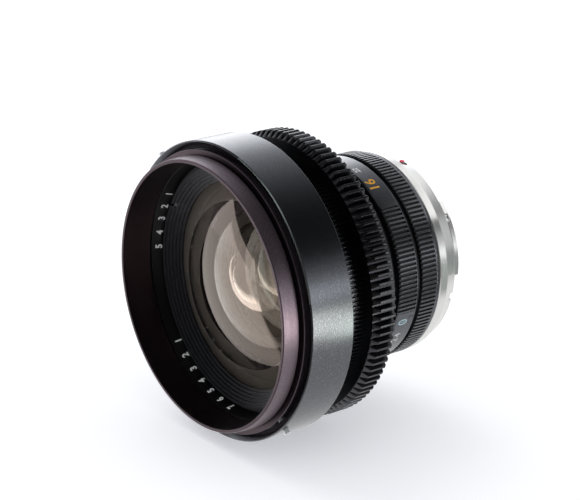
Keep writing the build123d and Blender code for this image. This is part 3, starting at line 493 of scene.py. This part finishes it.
# One rib as shares of its pitch and of the groove's depth: groove, flank, top, flank, groove
rib_profile = ((-0.35, 1), (-0.23, 0.12), (-0.17, 0), (0.17, 0), (0.23, 0.12), (0.35, 1))


def ribbed(shape, count, start=0.0, span=360.0):
    """Columns of ribs with a slightly rounded top. The shape takes the depth share, 1 in a groove."""
    step = span / count
    columns = []
    for k in range(count):
        for offset, share in rib_profile:
            columns.append((start + (k + offset) * step, shape(share)))
    return columns


# Hood ring: narrow lip, plain bezel and a flange outside, a fine thread inside. The photo's edges put the
# bezel's rear edge at 41.0 mm and the flange at 42.5 mm from the axis, further out than on the CAD ring
hood_front, hood_rear, hood_clamp = reach("front_hood_ring")
lip_front = hood_front - 0.1
lip_inner = hood_clamp - 1.95
lip_outer = hood_clamp - 1.1
bezel_radius = hood_clamp - 0.55
bezel_rear = hood_front + 5.0
flange_front = hood_front + 5.6
flange_radius = hood_clamp + 0.95
throat_rear = hood_front + 9.7
throat_inner = hood_clamp - 2.71
seat_inner = reach("front_barrel")[2] + 0.05
hood_round = 0.05
lip_ease = 0.06
lip_chamfer = 0.2
edge_chamfer = 0.12
groove_depth = 0.8
flange_width = 0.5
flange_slope = 0.3
throat_chamfer = 0.4
thread_start = 0.7
thread_pitch = 0.5
thread_depth = 0.07
thread_count = 17
thread = []
for k in range(thread_count):
    station = throat_rear - thread_start - k * thread_pitch
    share = (throat_rear - station) / (throat_rear - lip_front)
    crest = throat_inner + (lip_inner - throat_inner) * share
    thread.append((crest, station))
    thread.append((crest + thread_depth, station - thread_pitch / 2))
hood_outline = eased(
    [
        (lip_inner, lip_front + lip_ease),
        (lip_inner + lip_ease, lip_front),
        (lip_outer, lip_front),
        (lip_outer + lip_chamfer, lip_front + lip_chamfer),
        (bezel_radius, bezel_rear - edge_chamfer),
        (bezel_radius - 0.14, bezel_rear),
        (bezel_radius - groove_depth, bezel_rear + 0.04),
        (bezel_radius - groove_depth, flange_front),
        (flange_radius - edge_chamfer, flange_front),
        (flange_radius, flange_front + edge_chamfer),
        (flange_radius, flange_front + flange_width),
        (hood_clamp, flange_front + flange_width + flange_slope),
        (hood_clamp, hood_rear),
        (seat_inner, hood_rear),
        (seat_inner, throat_rear),
        (throat_inner + throat_chamfer, throat_rear),
        (throat_inner, throat_rear - throat_chamfer),
    ]
    + thread,
    hood_round,
)
hood = ring("hood_ring", plain(hood_outline), "front_hood_ring")
# The faces that look inward and the lip's front face take the darker copy of the anodising: painted shade
hood.data.materials.append(hood_painted_shade)
lip_face_normal = -0.8
for face in hood.data.polygons:
    facing_axis = face.normal.x * face.center.x + face.normal.z * face.center.z < 0
    if facing_axis or face.normal.y < lip_face_normal:
        face.material_index = 1

# Clamp-on front ring: dished in front, with chamfered edges worn bare in two places, the arcs where they
# shine: wear and a painted highlight
collar_front, collar_rear, collar_radius = reach("front_collar")
dish_inner = 42.5
dish_depth = 1.4
dish_rear = collar_front + 4.0
clamp_bore = 41.6
clamp_rear = -57.8
tail_bore = 39.45
tail_chamfer = 0.6
collar_chamfer = 0.35
collar_round = 0.09
collar_outline = eased(
    [
        (dish_inner, collar_front + dish_depth),
        (collar_radius - collar_chamfer, collar_front),
        (collar_radius, collar_front + collar_chamfer),
        (collar_radius, collar_rear - collar_chamfer),
        (collar_radius - collar_chamfer, collar_rear),
        (tail_bore + tail_chamfer, collar_rear),
        (tail_bore, collar_rear - tail_chamfer),
        (tail_bore, clamp_rear),
        (clamp_bore, clamp_rear),
        (clamp_bore, dish_rear),
        (dish_inner, dish_rear),
    ],
    collar_round,
)
collar = ring("clamp_ring", plain(collar_outline), "front_collar")
collar.data.materials.append(rubbed_edge_highlight)
# Pale bare metal on the chamfers, only in the arcs where they catch light: wear and a painted highlight
rubbed_lit_radius = (collar_radius - 0.33) * MM
rubbed_lit_front_from, rubbed_lit_front_to = 12, 76
rubbed_lit_rear_from, rubbed_lit_rear_to = -14, 20
chamfer_normal = 0.5
for face in collar.data.polygons:
    radius = math.hypot(face.center.x, face.center.z)
    turn = math.degrees(math.atan2(face.center.z, face.center.x))
    rubbed_lit_front = face.normal.y < -chamfer_normal and rubbed_lit_front_from < turn < rubbed_lit_front_to
    rubbed_lit_rear = face.normal.y > chamfer_normal and rubbed_lit_rear_from < turn < rubbed_lit_rear_to
    if radius > rubbed_lit_radius and (rubbed_lit_front or rubbed_lit_rear):
        face.material_index = 1

# Focusing ring: smooth nose, then a straight knurl
focus_front, focus_rear, knurl_top = reach("focus_ring")
gear_front, gear_rear, gear_tip = reach("focus_gear")
knurl_front = gear_front - 6.2
knurl_count = 170
knurl_depth = 0.45
nose_bore = 35.05
nose_radius = 37.15
gear_seat = 37.35
tail_radius = 35.25
bearing_bore = 32.65
bearing_front = -42.7
focus_chamfer = 0.3
focus_round = 0.06


def focus_outline(share):
    """Section of the focusing ring where the knurl is cut by a share of its depth."""
    top = knurl_top - knurl_depth * share
    return eased(
        [
            (nose_bore, focus_front),
            (nose_radius - focus_chamfer, focus_front),
            (nose_radius, focus_front + focus_chamfer),
            (nose_radius, knurl_front - focus_chamfer),
            (top, knurl_front + focus_chamfer),
            (top, gear_front + 0.02),
            (gear_seat, gear_front + 0.04),
            (gear_seat, gear_rear),
            (tail_radius, gear_rear),
            (tail_radius, focus_rear - focus_chamfer),
            (tail_radius - focus_chamfer, focus_rear),
            (bearing_bore, focus_rear),
            (bearing_bore, bearing_front),
            (nose_bore, bearing_front),
        ],
        focus_round,
    )


ring("focusing_ring", ribbed(focus_outline, knurl_count), "focus_ring")

# Focus gear: teeth with a deep bevel in front and a small one at the rear
teeth = 107
gear_module = 0.8
pressure_angle = 20
gear_bore = gear_seat + 0.05
root = gear_tip - 1.8
front_bevel = 1.7
rear_bevel = 0.5
tip_ease = 0.09
fine_round = 0.05


def gear_outline(radius):
    """Section of the gear where its teeth reach a radius."""
    front_radius = min(radius, gear_tip - front_bevel)
    rear_radius = min(radius, gear_tip - rear_bevel)
    return eased(
        [
            (gear_bore, gear_front),
            (front_radius, gear_front),
            (radius, gear_front + radius - front_radius),
            (radius, gear_rear - (radius - rear_radius)),
            (rear_radius, gear_rear),
            (gear_bore, gear_rear),
        ],
        fine_round,
    )


gear_columns = []
tooth_step = 360 / teeth
pitch_radius = gear_tip - gear_module
lean = math.tan(math.radians(pressure_angle))
half_gap = gear_module * math.pi / 4
root_turn = math.degrees((half_gap - (pitch_radius - root) * lean) / root)
tip_turn = math.degrees((half_gap + (gear_tip - pitch_radius) * lean) / gear_tip)
edge_turn = math.degrees(tip_ease / gear_tip)
for k in range(teeth):
    gap = k * tooth_step
    gear_columns += [
        (gap - root_turn, gear_outline(root)),
        (gap + root_turn, gear_outline(root)),
        (gap + tip_turn - edge_turn / 2, gear_outline(gear_tip - tip_ease)),
        (gap + tip_turn + edge_turn, gear_outline(gear_tip)),
        (gap + tooth_step - tip_turn - edge_turn, gear_outline(gear_tip)),
        (gap + tooth_step - tip_turn + edge_turn / 2, gear_outline(gear_tip - tip_ease)),
    ]
ring("gear_ring", gear_columns, "focus_gear")


# How far below the rib tops the painted groove shade begins, in mm, and how square to the axis an end face is
groove_start = 0.06
end_face_normal = 0.7


def paint_groove_shade(piece, top):
    """Second material, painted shade, for the faces of a ribbed ring that lie below the tops of its ribs."""
    piece.data.materials.append(groove_painted_shade)
    limit = (top - groove_start) * MM
    for face in piece.data.polygons:
        if math.hypot(face.center.x, face.center.z) < limit and abs(face.normal.y) < end_face_normal:
            face.material_index = 1


# Scale ring: smooth zones between three blocks of grip ribs
scale_front, scale_rear, scale_radius = reach("scale_ring")
rib_depth = 0.4
rib_pitch = 1.4
scale_bore = 29.35
scale_front_chamfer = 0.5
scale_rear_chamfer = 0.3
scale_rim = 0.6
scale_rim_slope = 0.05
block_span = 61
block_pitch = 120
block_centres = (16.4, 136.4, 256.4)
smooth_count = 48


def scale_outline(share):
    """Section of the scale ring where its ribs are cut by a share of their depth."""
    top = scale_radius - rib_depth * share
    return eased(
        [
            (scale_bore, scale_front),
            (min(top, scale_radius - scale_front_chamfer), scale_front),
            (top, scale_front + scale_front_chamfer),
            (top, scale_rear - scale_rim),
            (scale_radius, scale_rear - scale_rim + scale_rim_slope),
            (scale_radius, scale_rear - scale_rear_chamfer),
            (scale_radius - scale_rear_chamfer, scale_rear),
            (scale_bore, scale_rear),
        ],
        fine_round,
    )


rib_step = math.degrees(rib_pitch / scale_radius)
block_ribs = int(block_span / rib_step)
scale_columns = []
for centre in block_centres:
    first = centre - rib_step * block_ribs / 2
    scale_columns += ribbed(scale_outline, block_ribs, first, rib_step * block_ribs)
    smooth_from = first + rib_step * (block_ribs - 0.4)
    smooth_to = first + block_pitch - rib_step * 0.3
    smooth_span = smooth_to - smooth_from
    for k in range(smooth_count + 1):
        scale_columns.append((smooth_from + smooth_span * k / smooth_count, scale_outline(0)))
paint_groove_shade(ring("distance_scale_ring", scale_columns, "scale_ring"), scale_radius)

# Aperture ring: ribbed all round, with a plain band at the rear
aperture_front, aperture_rear, aperture_radius = reach("aperture_ring")
aperture_ribs = 142
aperture_bore = 29.4
aperture_front_chamfer = 0.3
aperture_rear_chamfer = 0.6
band_width = 1.5
band_slope = 0.2


def aperture_outline(share):
    """Section of the aperture ring where its ribs are cut by a share of their depth."""
    top = aperture_radius - rib_depth * share
    return eased(
        [
            (aperture_bore, aperture_front),
            (min(top, aperture_radius - aperture_front_chamfer), aperture_front),
            (top, aperture_front + aperture_front_chamfer),
            (top, aperture_rear - band_width - band_slope),
            (aperture_radius, aperture_rear - band_width),
            (aperture_radius, aperture_rear - aperture_rear_chamfer),
            (aperture_radius - aperture_rear_chamfer, aperture_rear),
            (aperture_bore, aperture_rear),
        ],
        fine_round,
    )


aperture_columns = ribbed(aperture_outline, aperture_ribs)
paint_groove_shade(ring("ribbed_aperture_ring", aperture_columns, "aperture_ring"), aperture_radius)

# Front retainer: steps down to the glass, with two spanner notches
retainer_front, retainer_rear, retainer_outer = reach("front_retainer")
retainer_steps = 6
retainer_rise = 0.69
lip_radius = 31.5
lip_width = 0.75
lip_rear = retainer_front + (retainer_steps - 1) * retainer_rise + 0.5
tread = (retainer_outer - lip_radius) / retainer_steps
retainer_round = 0.07
notch_angles = (150, 330)
notch_width = 1.6
notch_floor = retainer_front + 1.6 * retainer_rise
notch_half = math.degrees(notch_width / 2 / retainer_outer)
notch_wall = 0.05
between_count = 90


def retainer_outline(notched):
    """Section of the stepped retainer, with its two outer steps cut away where it is notched."""
    stairs = []
    for k in range(retainer_steps):
        step_front = retainer_front + k * retainer_rise
        outer = retainer_outer - k * tread
        if notched and k == 0:
            stairs += [(outer, notch_floor), (outer - tread, notch_floor)]
        elif notched and k == 1:
            stairs += [(outer - 0.1 * tread, notch_floor), (outer - 0.2 * tread, step_front)]
        else:
            stairs += [(outer, step_front), (outer - tread, step_front)]
    behind = [
        (lip_radius, lip_rear),
        (lip_radius + lip_width, lip_rear),
        (lip_radius + lip_width, retainer_rear),
        (retainer_outer, retainer_rear),
    ]
    return eased(stairs + behind, retainer_round)


retainer_columns = []
outside_notch = (1 + notch_wall) * notch_half
inside_notch = (1 - notch_wall) * notch_half
for middle in notch_angles:
    retainer_columns += [
        (middle - outside_notch, retainer_outline(False)),
        (middle - inside_notch, retainer_outline(True)),
        (middle + inside_notch, retainer_outline(True)),
        (middle + outside_notch, retainer_outline(False)),
    ]
    for k in range(1, between_count):
        between = middle + outside_notch + k * (180 - 2 * outside_notch) / between_count
        retainer_columns.append((between, retainer_outline(False)))
ring("stepped_retainer", retainer_columns, "front_retainer")

# Number ring: a cone round the retainer
number_front, number_rear, number_outer = reach("number_ring")
number_gap = 1.1
number_inner = retainer_outer + number_gap
number_taper = 1.4
number_round = 0.1
number_count = 240
number_outline = eased(
    [
        (number_inner, number_rear),
        (number_inner + number_taper, number_front),
        (number_outer, number_front),
        (number_outer, number_rear),
    ],
    number_round,
)
cone = ring("cone_ring", plain(number_outline, number_count), "number_ring")
cone.data.materials[0] = black_lacquer


# Painted figures. A font's digits take a share of its size

digit_share = 0.7
paint_height = 0.03
figure_station = -60.75


def on_number_ring(angle):
    """Maps a flat figure to the inside of the cone, with its top to the front."""
    depth = number_rear - number_front
    length = math.hypot(number_taper, depth)
    slope = number_taper / length
    run = depth / length

    def place(x, y, z):
        station = figure_station - run * y - slope * z
        radius = number_inner + number_taper * (number_rear - figure_station) / depth
        radius += slope * y - run * z
        turn = math.radians(angle) - x / radius
        return Vector((radius * math.cos(turn), station, radius * math.sin(turn))) * MM

    return place


def on_scale_ring(angle, middle):
    """Maps a flat figure to the outside of the scale ring, with its top to the front."""

    def place(x, y, z):
        radius = scale_radius + z
        turn = math.radians(angle) + x / radius
        return Vector((radius * math.cos(turn), middle - y, radius * math.sin(turn))) * MM

    return place


def figures(name, marks, paint, node):
    """One piece of painted figures. A mark is its text, height and boldness in mm, and its place
    on a ring."""
    joined = bmesh.new()
    for text, height, boldness, place in marks:
        curve = bpy.data.curves.new(name, "FONT")
        curve.body = text
        curve.size = height / digit_share
        curve.offset = boldness
        curve.resolution_u = 4
        curve.align_x = "CENTER"
        curve.align_y = "CENTER"
        curve.extrude = paint_height
        drawn = bpy.data.objects.new(name, curve)
        mesh = bpy.data.meshes.new_from_object(drawn)
        for vertex in mesh.vertices:
            vertex.co = place(*vertex.co)
        joined.from_mesh(mesh)
        bpy.data.objects.remove(drawn)
        bpy.data.meshes.remove(mesh)
    mesh = bpy.data.meshes.new(name)
    joined.to_mesh(mesh)
    joined.free()
    dress(name, mesh, node, paint)


# Angles of the figures on the number ring, a long row below and a short one on the left
long_row = (221.7, 229.4, 237.1, 244.9, 252.1, 259.7, 267.8)
short_row = (146.8, 154.6, 161.5, 169.0, 176.1)
ring_digit_height = 2.0
ring_digit_boldness = 0.09
ring_marks = []
for angles in (long_row, short_row):
    for k, angle in enumerate(angles):
        ring_marks.append((str(k + 1), ring_digit_height, ring_digit_boldness, on_number_ring(angle)))
figures("ring_figures", ring_marks, white_paint, "number_ring")

# Figures on the scale ring: a large yellow one, small white ones, one in a pale blue oval and a dark one
yellow_marks = [("16", 3.5, 0.06, on_scale_ring(61.6, -20.3))]
white_marks = [
    ("22", 1.8, 0.05, on_scale_ring(75.4, -20.7)),
    ("2 4", 2.2, 0.08, on_scale_ring(327.5, -20.3)),
]
blue_marks = [
    ("0", 3.4, -0.02, on_scale_ring(339.3, -20.1)),
    ("1", 1.5, 0.02, on_scale_ring(339.3, -20.1)),
]
dark_marks = [("2", 1.6, 0.03, on_scale_ring(342.0, -17.4))]
figures("yellow_figure", yellow_marks, yellow_paint, "scale_ring")
figures("white_figures", white_marks, white_paint, "scale_ring")
figures("blue_figures", blue_marks, blue_paint, "scale_ring")
figures("dark_figure", dark_marks, black_lacquer, "scale_ring")

# Red dot of the mount: a low dome, smaller than the CAD dot, as the photo shows it
dot_radius = 0.82
dot_height = 0.14
dot_angle = 76.5
dot_station = -2.3
dot_shape = bmesh.new()
bmesh.ops.create_uvsphere(dot_shape, u_segments=32, v_segments=16, radius=dot_radius * MM)
for vertex in dot_shape.verts:
    vertex.co.z *= dot_height / dot_radius
dot_mesh = bpy.data.meshes.new("mount_dot")
dot_shape.to_mesh(dot_mesh)
dot_shape.free()
dot_mesh.shade_smooth()
dot_turn = math.radians(90 - dot_angle)
dot_seat = reach("bayonet_mount")[2]
dot_place = Vector((dot_seat * math.sin(dot_turn), dot_station, dot_seat * math.cos(dot_turn))) * MM
dot_mesh.transform(Matrix.Translation(dot_place) @ Matrix.Rotation(dot_turn, 4, "Y"))
mount_dot = dress("mount_dot", dot_mesh, "index_dot")
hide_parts("index_dot")


# Front glass: a turned body with smooth polished faces

glass_sharp_angle = 20


def dip(curve, height):
    """How far behind its vertex a polished face lies at a height from the axis, in mm."""
    return math.copysign(abs(curve) - math.sqrt(curve**2 - height**2), curve)


def polished(edge_y, curve, clear, count=28):
    """Points of a polished face from its clear edge to the axis. A plus curve bulges to the front."""
    vertex = edge_y - dip(curve, clear)
    heights = [clear * (1 - k / count) for k in range(count + 1)]
    return [(height, vertex + dip(curve, height)) for height in heights]


def turned_glass(name, node, outline, count=200):
    """Solid of revolution from an outline that runs from the axis in front to the axis at the rear."""
    shape = bmesh.new()
    line = [shape.verts.new((r * MM, y * MM, 0)) for r, y in outline]
    edges = [shape.edges.new(pair) for pair in zip(line, line[1:])]
    bmesh.ops.spin(
        shape,
        geom=line + edges,
        cent=(0, 0, 0),
        axis=(0, 1, 0),
        angle=2 * math.pi,
        steps=count,
        use_duplicate=False,
    )
    bmesh.ops.remove_doubles(shape, verts=shape.verts, dist=0.01 * MM)
    bmesh.ops.recalc_face_normals(shape, faces=shape.faces)
    mesh = bpy.data.meshes.new(name)
    shape.to_mesh(mesh)
    shape.free()
    mesh.shade_smooth()
    mesh.set_sharp_from_angle(angle=math.radians(glass_sharp_angle))
    made = dress(name, mesh, node)
    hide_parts(node)


# The front curve bulges more than the CAD element's, as the reflections in the photo call for
glass_rear, glass_rim = reach("front_element")[1:]
glass_depth = 3.9
front_curve = 62
rear_curve = 46
rear_clear = 23.5
glass_edge = glass_rear - glass_depth + dip(front_curve, glass_rim) - dip(front_curve, lip_radius)
front_glass_outline = (
    polished(glass_edge, front_curve, glass_rim)[::-1]
    + [(glass_rim, glass_rear)]
    + polished(glass_rear, rear_curve, rear_clear)
)
turned_glass("front_glass", "front_element", front_glass_outline)


# Camera, as fitted to the rings of the photo: its place in metres, how far it looks down and round in degrees
camera_place = (0.46226, -0.39659, 0.21104)
camera_down = 19.223
camera_turn = 52.317
camera_data = bpy.data.cameras.new("camera")
camera_data.lens = 128.75
camera_data.sensor_width = 36
camera_data.clip_start = 0.01
camera = bpy.data.objects.new("camera", camera_data)
camera.location = camera_place
camera.rotation_euler = (math.radians(90 - camera_down), 0, math.radians(camera_turn))
bpy.context.scene.collection.objects.link(camera)
bpy.context.scene.camera = camera


# Stage: world, ground, cards and lamp

scene = bpy.context.scene
scene.view_settings.view_transform = "Standard"


def soft_step(tree, spot, direction, start, end, before=0.0, past=1.0):
    """Level that goes smoothly from one value to another between two stations along a direction."""
    station = add(tree, "ShaderNodeVectorMath", {"operation": "DOT_PRODUCT", 1: direction}, {0: spot})
    step = add(
        tree,
        "ShaderNodeMapRange",
        {
            "interpolation_type": "SMOOTHSTEP",
            "From Min": start,
            "From Max": end,
            "To Min": before,
            "To Max": past,
        },
        {"Value": station.outputs["Value"]},
    )
    return step.outputs["Result"]


# What mirrors see of the room. Each soft part has a direction, the cosines to it between which its level
# changes, and the levels before and past them
to_rear = (0, 1, 0)
upwards = (0, 0, 1)
wall_direction = (-0.80, 0.56, 0.20)
wall_focus = 3.2
wall_strength = 1.65
room_strength = 0.03
wall_window = (wall_direction, 0.88, 0.99, 0.0, 1.2)
left_side = (-0.903, 0.430, -1.9)
left_start = (left_side, 0.04, 0.07)
left_end = (to_rear, -0.15, -0.02, 1.75, 0.0)
low_top = (upwards, 0.22, 0.46, 0.62, 0.0)
low_start = (to_rear, 0.1, 0.5)
right_window = ((0.868, 0.494, 0.05), 0.985, 0.995, 0.0, 3.0)
front_lamp = ((0.05, -0.73, 0.68), 0.955, 0.985, 0.0, 0.5)


def room_level(tree, spot):
    """How brightly mirrors see the room: a broad wall with a window in it to the rear left, a white side low
    on the left, a dim band low at the rear, a small window on the right and a lamp high in front."""
    wall = add(tree, "ShaderNodeVectorMath", {"operation": "DOT_PRODUCT", 1: wall_direction}, {0: spot})
    facing = add(tree, "ShaderNodeMath", {"operation": "MAXIMUM", 1: 0.0}, {0: wall.outputs["Value"]})
    focused = add(
        tree,
        "ShaderNodeMath",
        {"operation": "POWER", 1: wall_focus},
        {0: facing.outputs["Value"]},
    )
    wall_level = add(
        tree,
        "ShaderNodeMath",
        {"operation": "MULTIPLY_ADD", 1: wall_strength, 2: room_strength},
        {0: focused.outputs["Value"]},
    )
    left_level = add(
        tree,
        "ShaderNodeMath",
        {"operation": "MULTIPLY"},
        {0: soft_step(tree, spot, *left_start), 1: soft_step(tree, spot, *left_end)},
    )
    low_level = add(
        tree,
        "ShaderNodeMath",
        {"operation": "MULTIPLY"},
        {0: soft_step(tree, spot, *low_top), 1: soft_step(tree, spot, *low_start)},
    )
    level = wall_level.outputs["Value"]
    for operation, part in (
        ("ADD", soft_step(tree, spot, *wall_window)),
        ("MAXIMUM", left_level.outputs["Value"]),
        ("MAXIMUM", low_level.outputs["Value"]),
        ("ADD", soft_step(tree, spot, *right_window)),
        ("ADD", soft_step(tree, spot, *front_lamp)),
    ):
        joined = add(tree, "ShaderNodeMath", {"operation": operation}, {0: level, 1: part})
        level = joined.outputs["Value"]
    return level


def light_world():
    """World: the room for mirrors, an even dome for matt faces and pure white for the camera."""
    world = bpy.data.worlds.new("studio")
    scene.world = world
    world.use_nodes = True
    tree = world.node_tree
    tree.nodes.clear()
    spot = add(tree, "ShaderNodeTexCoord").outputs["Generated"]
    strength = room_level(tree, spot)
    room = add(tree, "ShaderNodeBackground", {"Color": linear("#fbfcff")}, {"Strength": strength})
    dome = add(tree, "ShaderNodeBackground", {"Color": linear("#fcfcff"), "Strength": 0.72})
    white = add(tree, "ShaderNodeBackground", {"Color": linear("#ffffff"), "Strength": 1.0})
    path = add(tree, "ShaderNodeLightPath")
    soft = add(
        tree,
        "ShaderNodeMixShader",
        links={
            0: path.outputs["Is Diffuse Ray"],
            1: room.outputs["Background"],
            2: dome.outputs["Background"],
        },
    )
    seen = add(
        tree,
        "ShaderNodeMixShader",
        links={
            0: path.outputs["Is Camera Ray"],
            1: soft.outputs["Shader"],
            2: white.outputs["Background"],
        },
    )
    output = tree.nodes.new("ShaderNodeOutputWorld")
    tree.links.new(seen.outputs["Shader"], output.inputs["Surface"])


light_world()


def flat_sheet(name, half_x, half_y, place, turn=0.0):
    """Level rectangle with its top up."""
    mesh = bpy.data.meshes.new(name)
    corners = [(-half_x, -half_y, 0), (half_x, -half_y, 0), (half_x, half_y, 0), (-half_x, half_y, 0)]
    mesh.from_pydata(corners, [], [(0, 1, 2, 3)])
    made = bpy.data.objects.new(name, mesh)
    made.location = place
    made.rotation_euler = (0, 0, math.radians(turn))
    scene.collection.objects.link(made)
    return made


# What mirrors see of the ground. Each edge has a direction and the stations, in metres from under the mount,
# between which its level changes
right_edge = ((1, 0, 0), 0.058, 0.085)
behind_edge = ((-0.508, 0.862, 0), -0.042, -0.028)
paper_edge = ((-0.903, 0.430, 0), -0.0493, -0.0453, 1.0, 0.0)
front_edge = ((0, -1, 0), 0.076, 0.086)
front_lift = 0.4
crescent_out = (-0.5, -0.866, 0)
crescent_side = (-0.866, 0.5, 0)
crescent_middle = 0.055
crescent_bow = -22.2
crescent_edge = -0.142
crescent_rise = 0.005
crescent_end = 0.06
crescent_bright = 5.4
crescent_dim = 0.2


def crescent_level(tree, spot):
    """A bright patch of the paper with a bowed edge, which the front glass mirrors as a crescent."""
    out = add(tree, "ShaderNodeVectorMath", {"operation": "DOT_PRODUCT", 1: crescent_out}, {0: spot})
    aside = add(tree, "ShaderNodeVectorMath", {"operation": "DOT_PRODUCT", 1: crescent_side}, {0: spot})
    shifted = add(
        tree,
        "ShaderNodeMath",
        {"operation": "ADD", 1: crescent_middle},
        {0: aside.outputs["Value"]},
    )
    squared = add(
        tree,
        "ShaderNodeMath",
        {"operation": "MULTIPLY"},
        {0: shifted.outputs["Value"], 1: shifted.outputs["Value"]},
    )
    edge = add(
        tree,
        "ShaderNodeMath",
        {"operation": "MULTIPLY_ADD", 1: crescent_bow, 2: crescent_edge},
        {0: squared.outputs["Value"]},
    )
    past_edge = add(
        tree,
        "ShaderNodeMath",
        {"operation": "ADD"},
        {0: out.outputs["Value"], 1: edge.outputs["Value"]},
    )
    rise = add(
        tree,
        "ShaderNodeMapRange",
        {"interpolation_type": "SMOOTHSTEP", "From Min": 0.0, "From Max": crescent_rise},
        {"Value": past_edge.outputs["Value"]},
    )
    fall = add(
        tree,
        "ShaderNodeMapRange",
        {
            "interpolation_type": "SMOOTHSTEP",
            "From Min": crescent_rise,
            "From Max": crescent_end,
            "To Min": crescent_bright,
            "To Max": crescent_dim,
        },
        {"Value": past_edge.outputs["Value"]},
    )
    crescent = add(
        tree,
        "ShaderNodeMath",
        {"operation": "MULTIPLY"},
        {0: rise.outputs["Result"], 1: fall.outputs["Result"]},
    )
    return crescent.outputs["Value"]


def mirrored_ground(tree, spot):
    """What mirrors see of the ground: white, grey behind on the right, and dark where the paper ends in front
    of the hood, with the crescent past that place."""
    in_front = soft_step(tree, spot, *front_edge)
    grey_share = add(
        tree,
        "ShaderNodeMath",
        {"operation": "MULTIPLY"},
        {0: soft_step(tree, spot, *right_edge), 1: soft_step(tree, spot, *behind_edge)},
    )
    dark_share = add(
        tree,
        "ShaderNodeMath",
        {"operation": "MULTIPLY"},
        {0: soft_step(tree, spot, *paper_edge), 1: in_front},
    )
    greyed = add(
        tree,
        "ShaderNodeMix",
        {"data_type": "RGBA", 6: linear("#ffffff"), 7: linear("#79827f")},
        {0: grey_share.outputs["Value"]},
    )
    darkened = add(
        tree,
        "ShaderNodeMix",
        {"data_type": "RGBA", 7: linear("#625e5b")},
        {0: dark_share.outputs["Value"], 6: greyed.outputs[2]},
    )
    raised = add(
        tree,
        "ShaderNodeMath",
        {"operation": "ADD", 1: front_lift},
        {0: crescent_level(tree, spot)},
    )
    strength = add(
        tree,
        "ShaderNodeMath",
        {"operation": "MULTIPLY_ADD", 2: 1.0},
        {0: raised.outputs["Value"], 1: in_front},
    )
    return add(
        tree,
        "ShaderNodeEmission",
        links={"Color": darkened.outputs[2], "Strength": strength.outputs["Value"]},
    )


def white_paper():
    """Ground: white paper that keeps the lens's shadow and is lifted to white for the camera. Mirrors and
    glass see their own version of it, and it throws its plain colour on matt faces."""
    material, tree, output = new_material("white paper ground")
    spot = add(tree, "ShaderNodeTexCoord").outputs["Object"]
    matt = add(tree, "ShaderNodeBsdfDiffuse", {"Color": linear("#e6e6e6")})
    lift = add(tree, "ShaderNodeEmission", {"Color": linear("#f4f7fd"), "Strength": 0.45})
    paper = add(tree, "ShaderNodeAddShader", links={0: matt.outputs["BSDF"], 1: lift.outputs["Emission"]})
    in_mirrors = mirrored_ground(tree, spot)
    path = add(tree, "ShaderNodeLightPath")
    sharp_ray = add(
        tree,
        "ShaderNodeMath",
        {"operation": "MAXIMUM"},
        {0: path.outputs["Is Glossy Ray"], 1: path.outputs["Is Transmission Ray"]},
    )
    plain_ray = add(
        tree,
        "ShaderNodeMixShader",
        links={0: path.outputs["Is Diffuse Ray"], 1: paper.outputs["Shader"], 2: matt.outputs["BSDF"]},
    )
    all_rays = add(
        tree,
        "ShaderNodeMixShader",
        links={
            0: sharp_ray.outputs["Value"],
            1: plain_ray.outputs["Shader"],
            2: in_mirrors.outputs["Emission"],
        },
    )
    tree.links.new(all_rays.outputs["Shader"], output.inputs["Surface"])
    return material


ground_half = 1.6
floor_z = -collar_radius * MM
floor = flat_sheet("ground", ground_half, ground_half, (0, 0, floor_z))
floor.data.materials.append(white_paper())


def card(name, half_x, half_y, place, turn, colour, strength):
    """Glowing card that only mirrors see. It throws no light on matt faces and no shadow."""
    made = flat_sheet(name, half_x, half_y, place, turn)
    material, tree, output = new_material(name)
    glow = add(tree, "ShaderNodeEmission", {"Color": linear(colour), "Strength": strength})
    tree.links.new(glow.outputs["Emission"], output.inputs["Surface"])
    made.data.materials.append(material)
    made.visible_camera = False
    made.visible_diffuse = False
    made.visible_shadow = False


# Low strip to the right: gives the bright band along the right of the front ring
strip_z = floor_z + 0.6 * MM
card(
    "bright_strip",
    half_x=0.165,
    half_y=0.0115,
    place=(0.2475, 0.091, strip_z),
    turn=30.5,
    colour="#f8fff0",
    strength=7.6,
)

# Second strip, nearer to the front: the hood's bezel mirrors it
card(
    "bezel_strip",
    half_x=0.185,
    half_y=0.016,
    place=(0.309, 0.072, strip_z),
    turn=27.7,
    colour="#fff6f4",
    strength=15.0,
)

# Card above the mount: the chrome rings mirror it, the black rings in front of them hardly do
card(
    "mount_card",
    half_x=0.05,
    half_y=0.026,
    place=(0.035, 0.056, 0.072),
    turn=6,
    colour="#ffffff",
    strength=1.45,
)

# Key lamp: high on the left and soft, so that the shadow falls to the right
key_direction = Vector((-0.70, 0.0, 0.71))
key_spread = 50
key = bpy.data.lights.new("key", "SUN")
key.angle = math.radians(key_spread)
key.energy = 0.75
key_lamp = bpy.data.objects.new("key", key)
key_lamp.rotation_euler = key_direction.to_track_quat("Z", "Y").to_euler()
key_lamp.visible_glossy = False
scene.collection.objects.link(key_lamp)
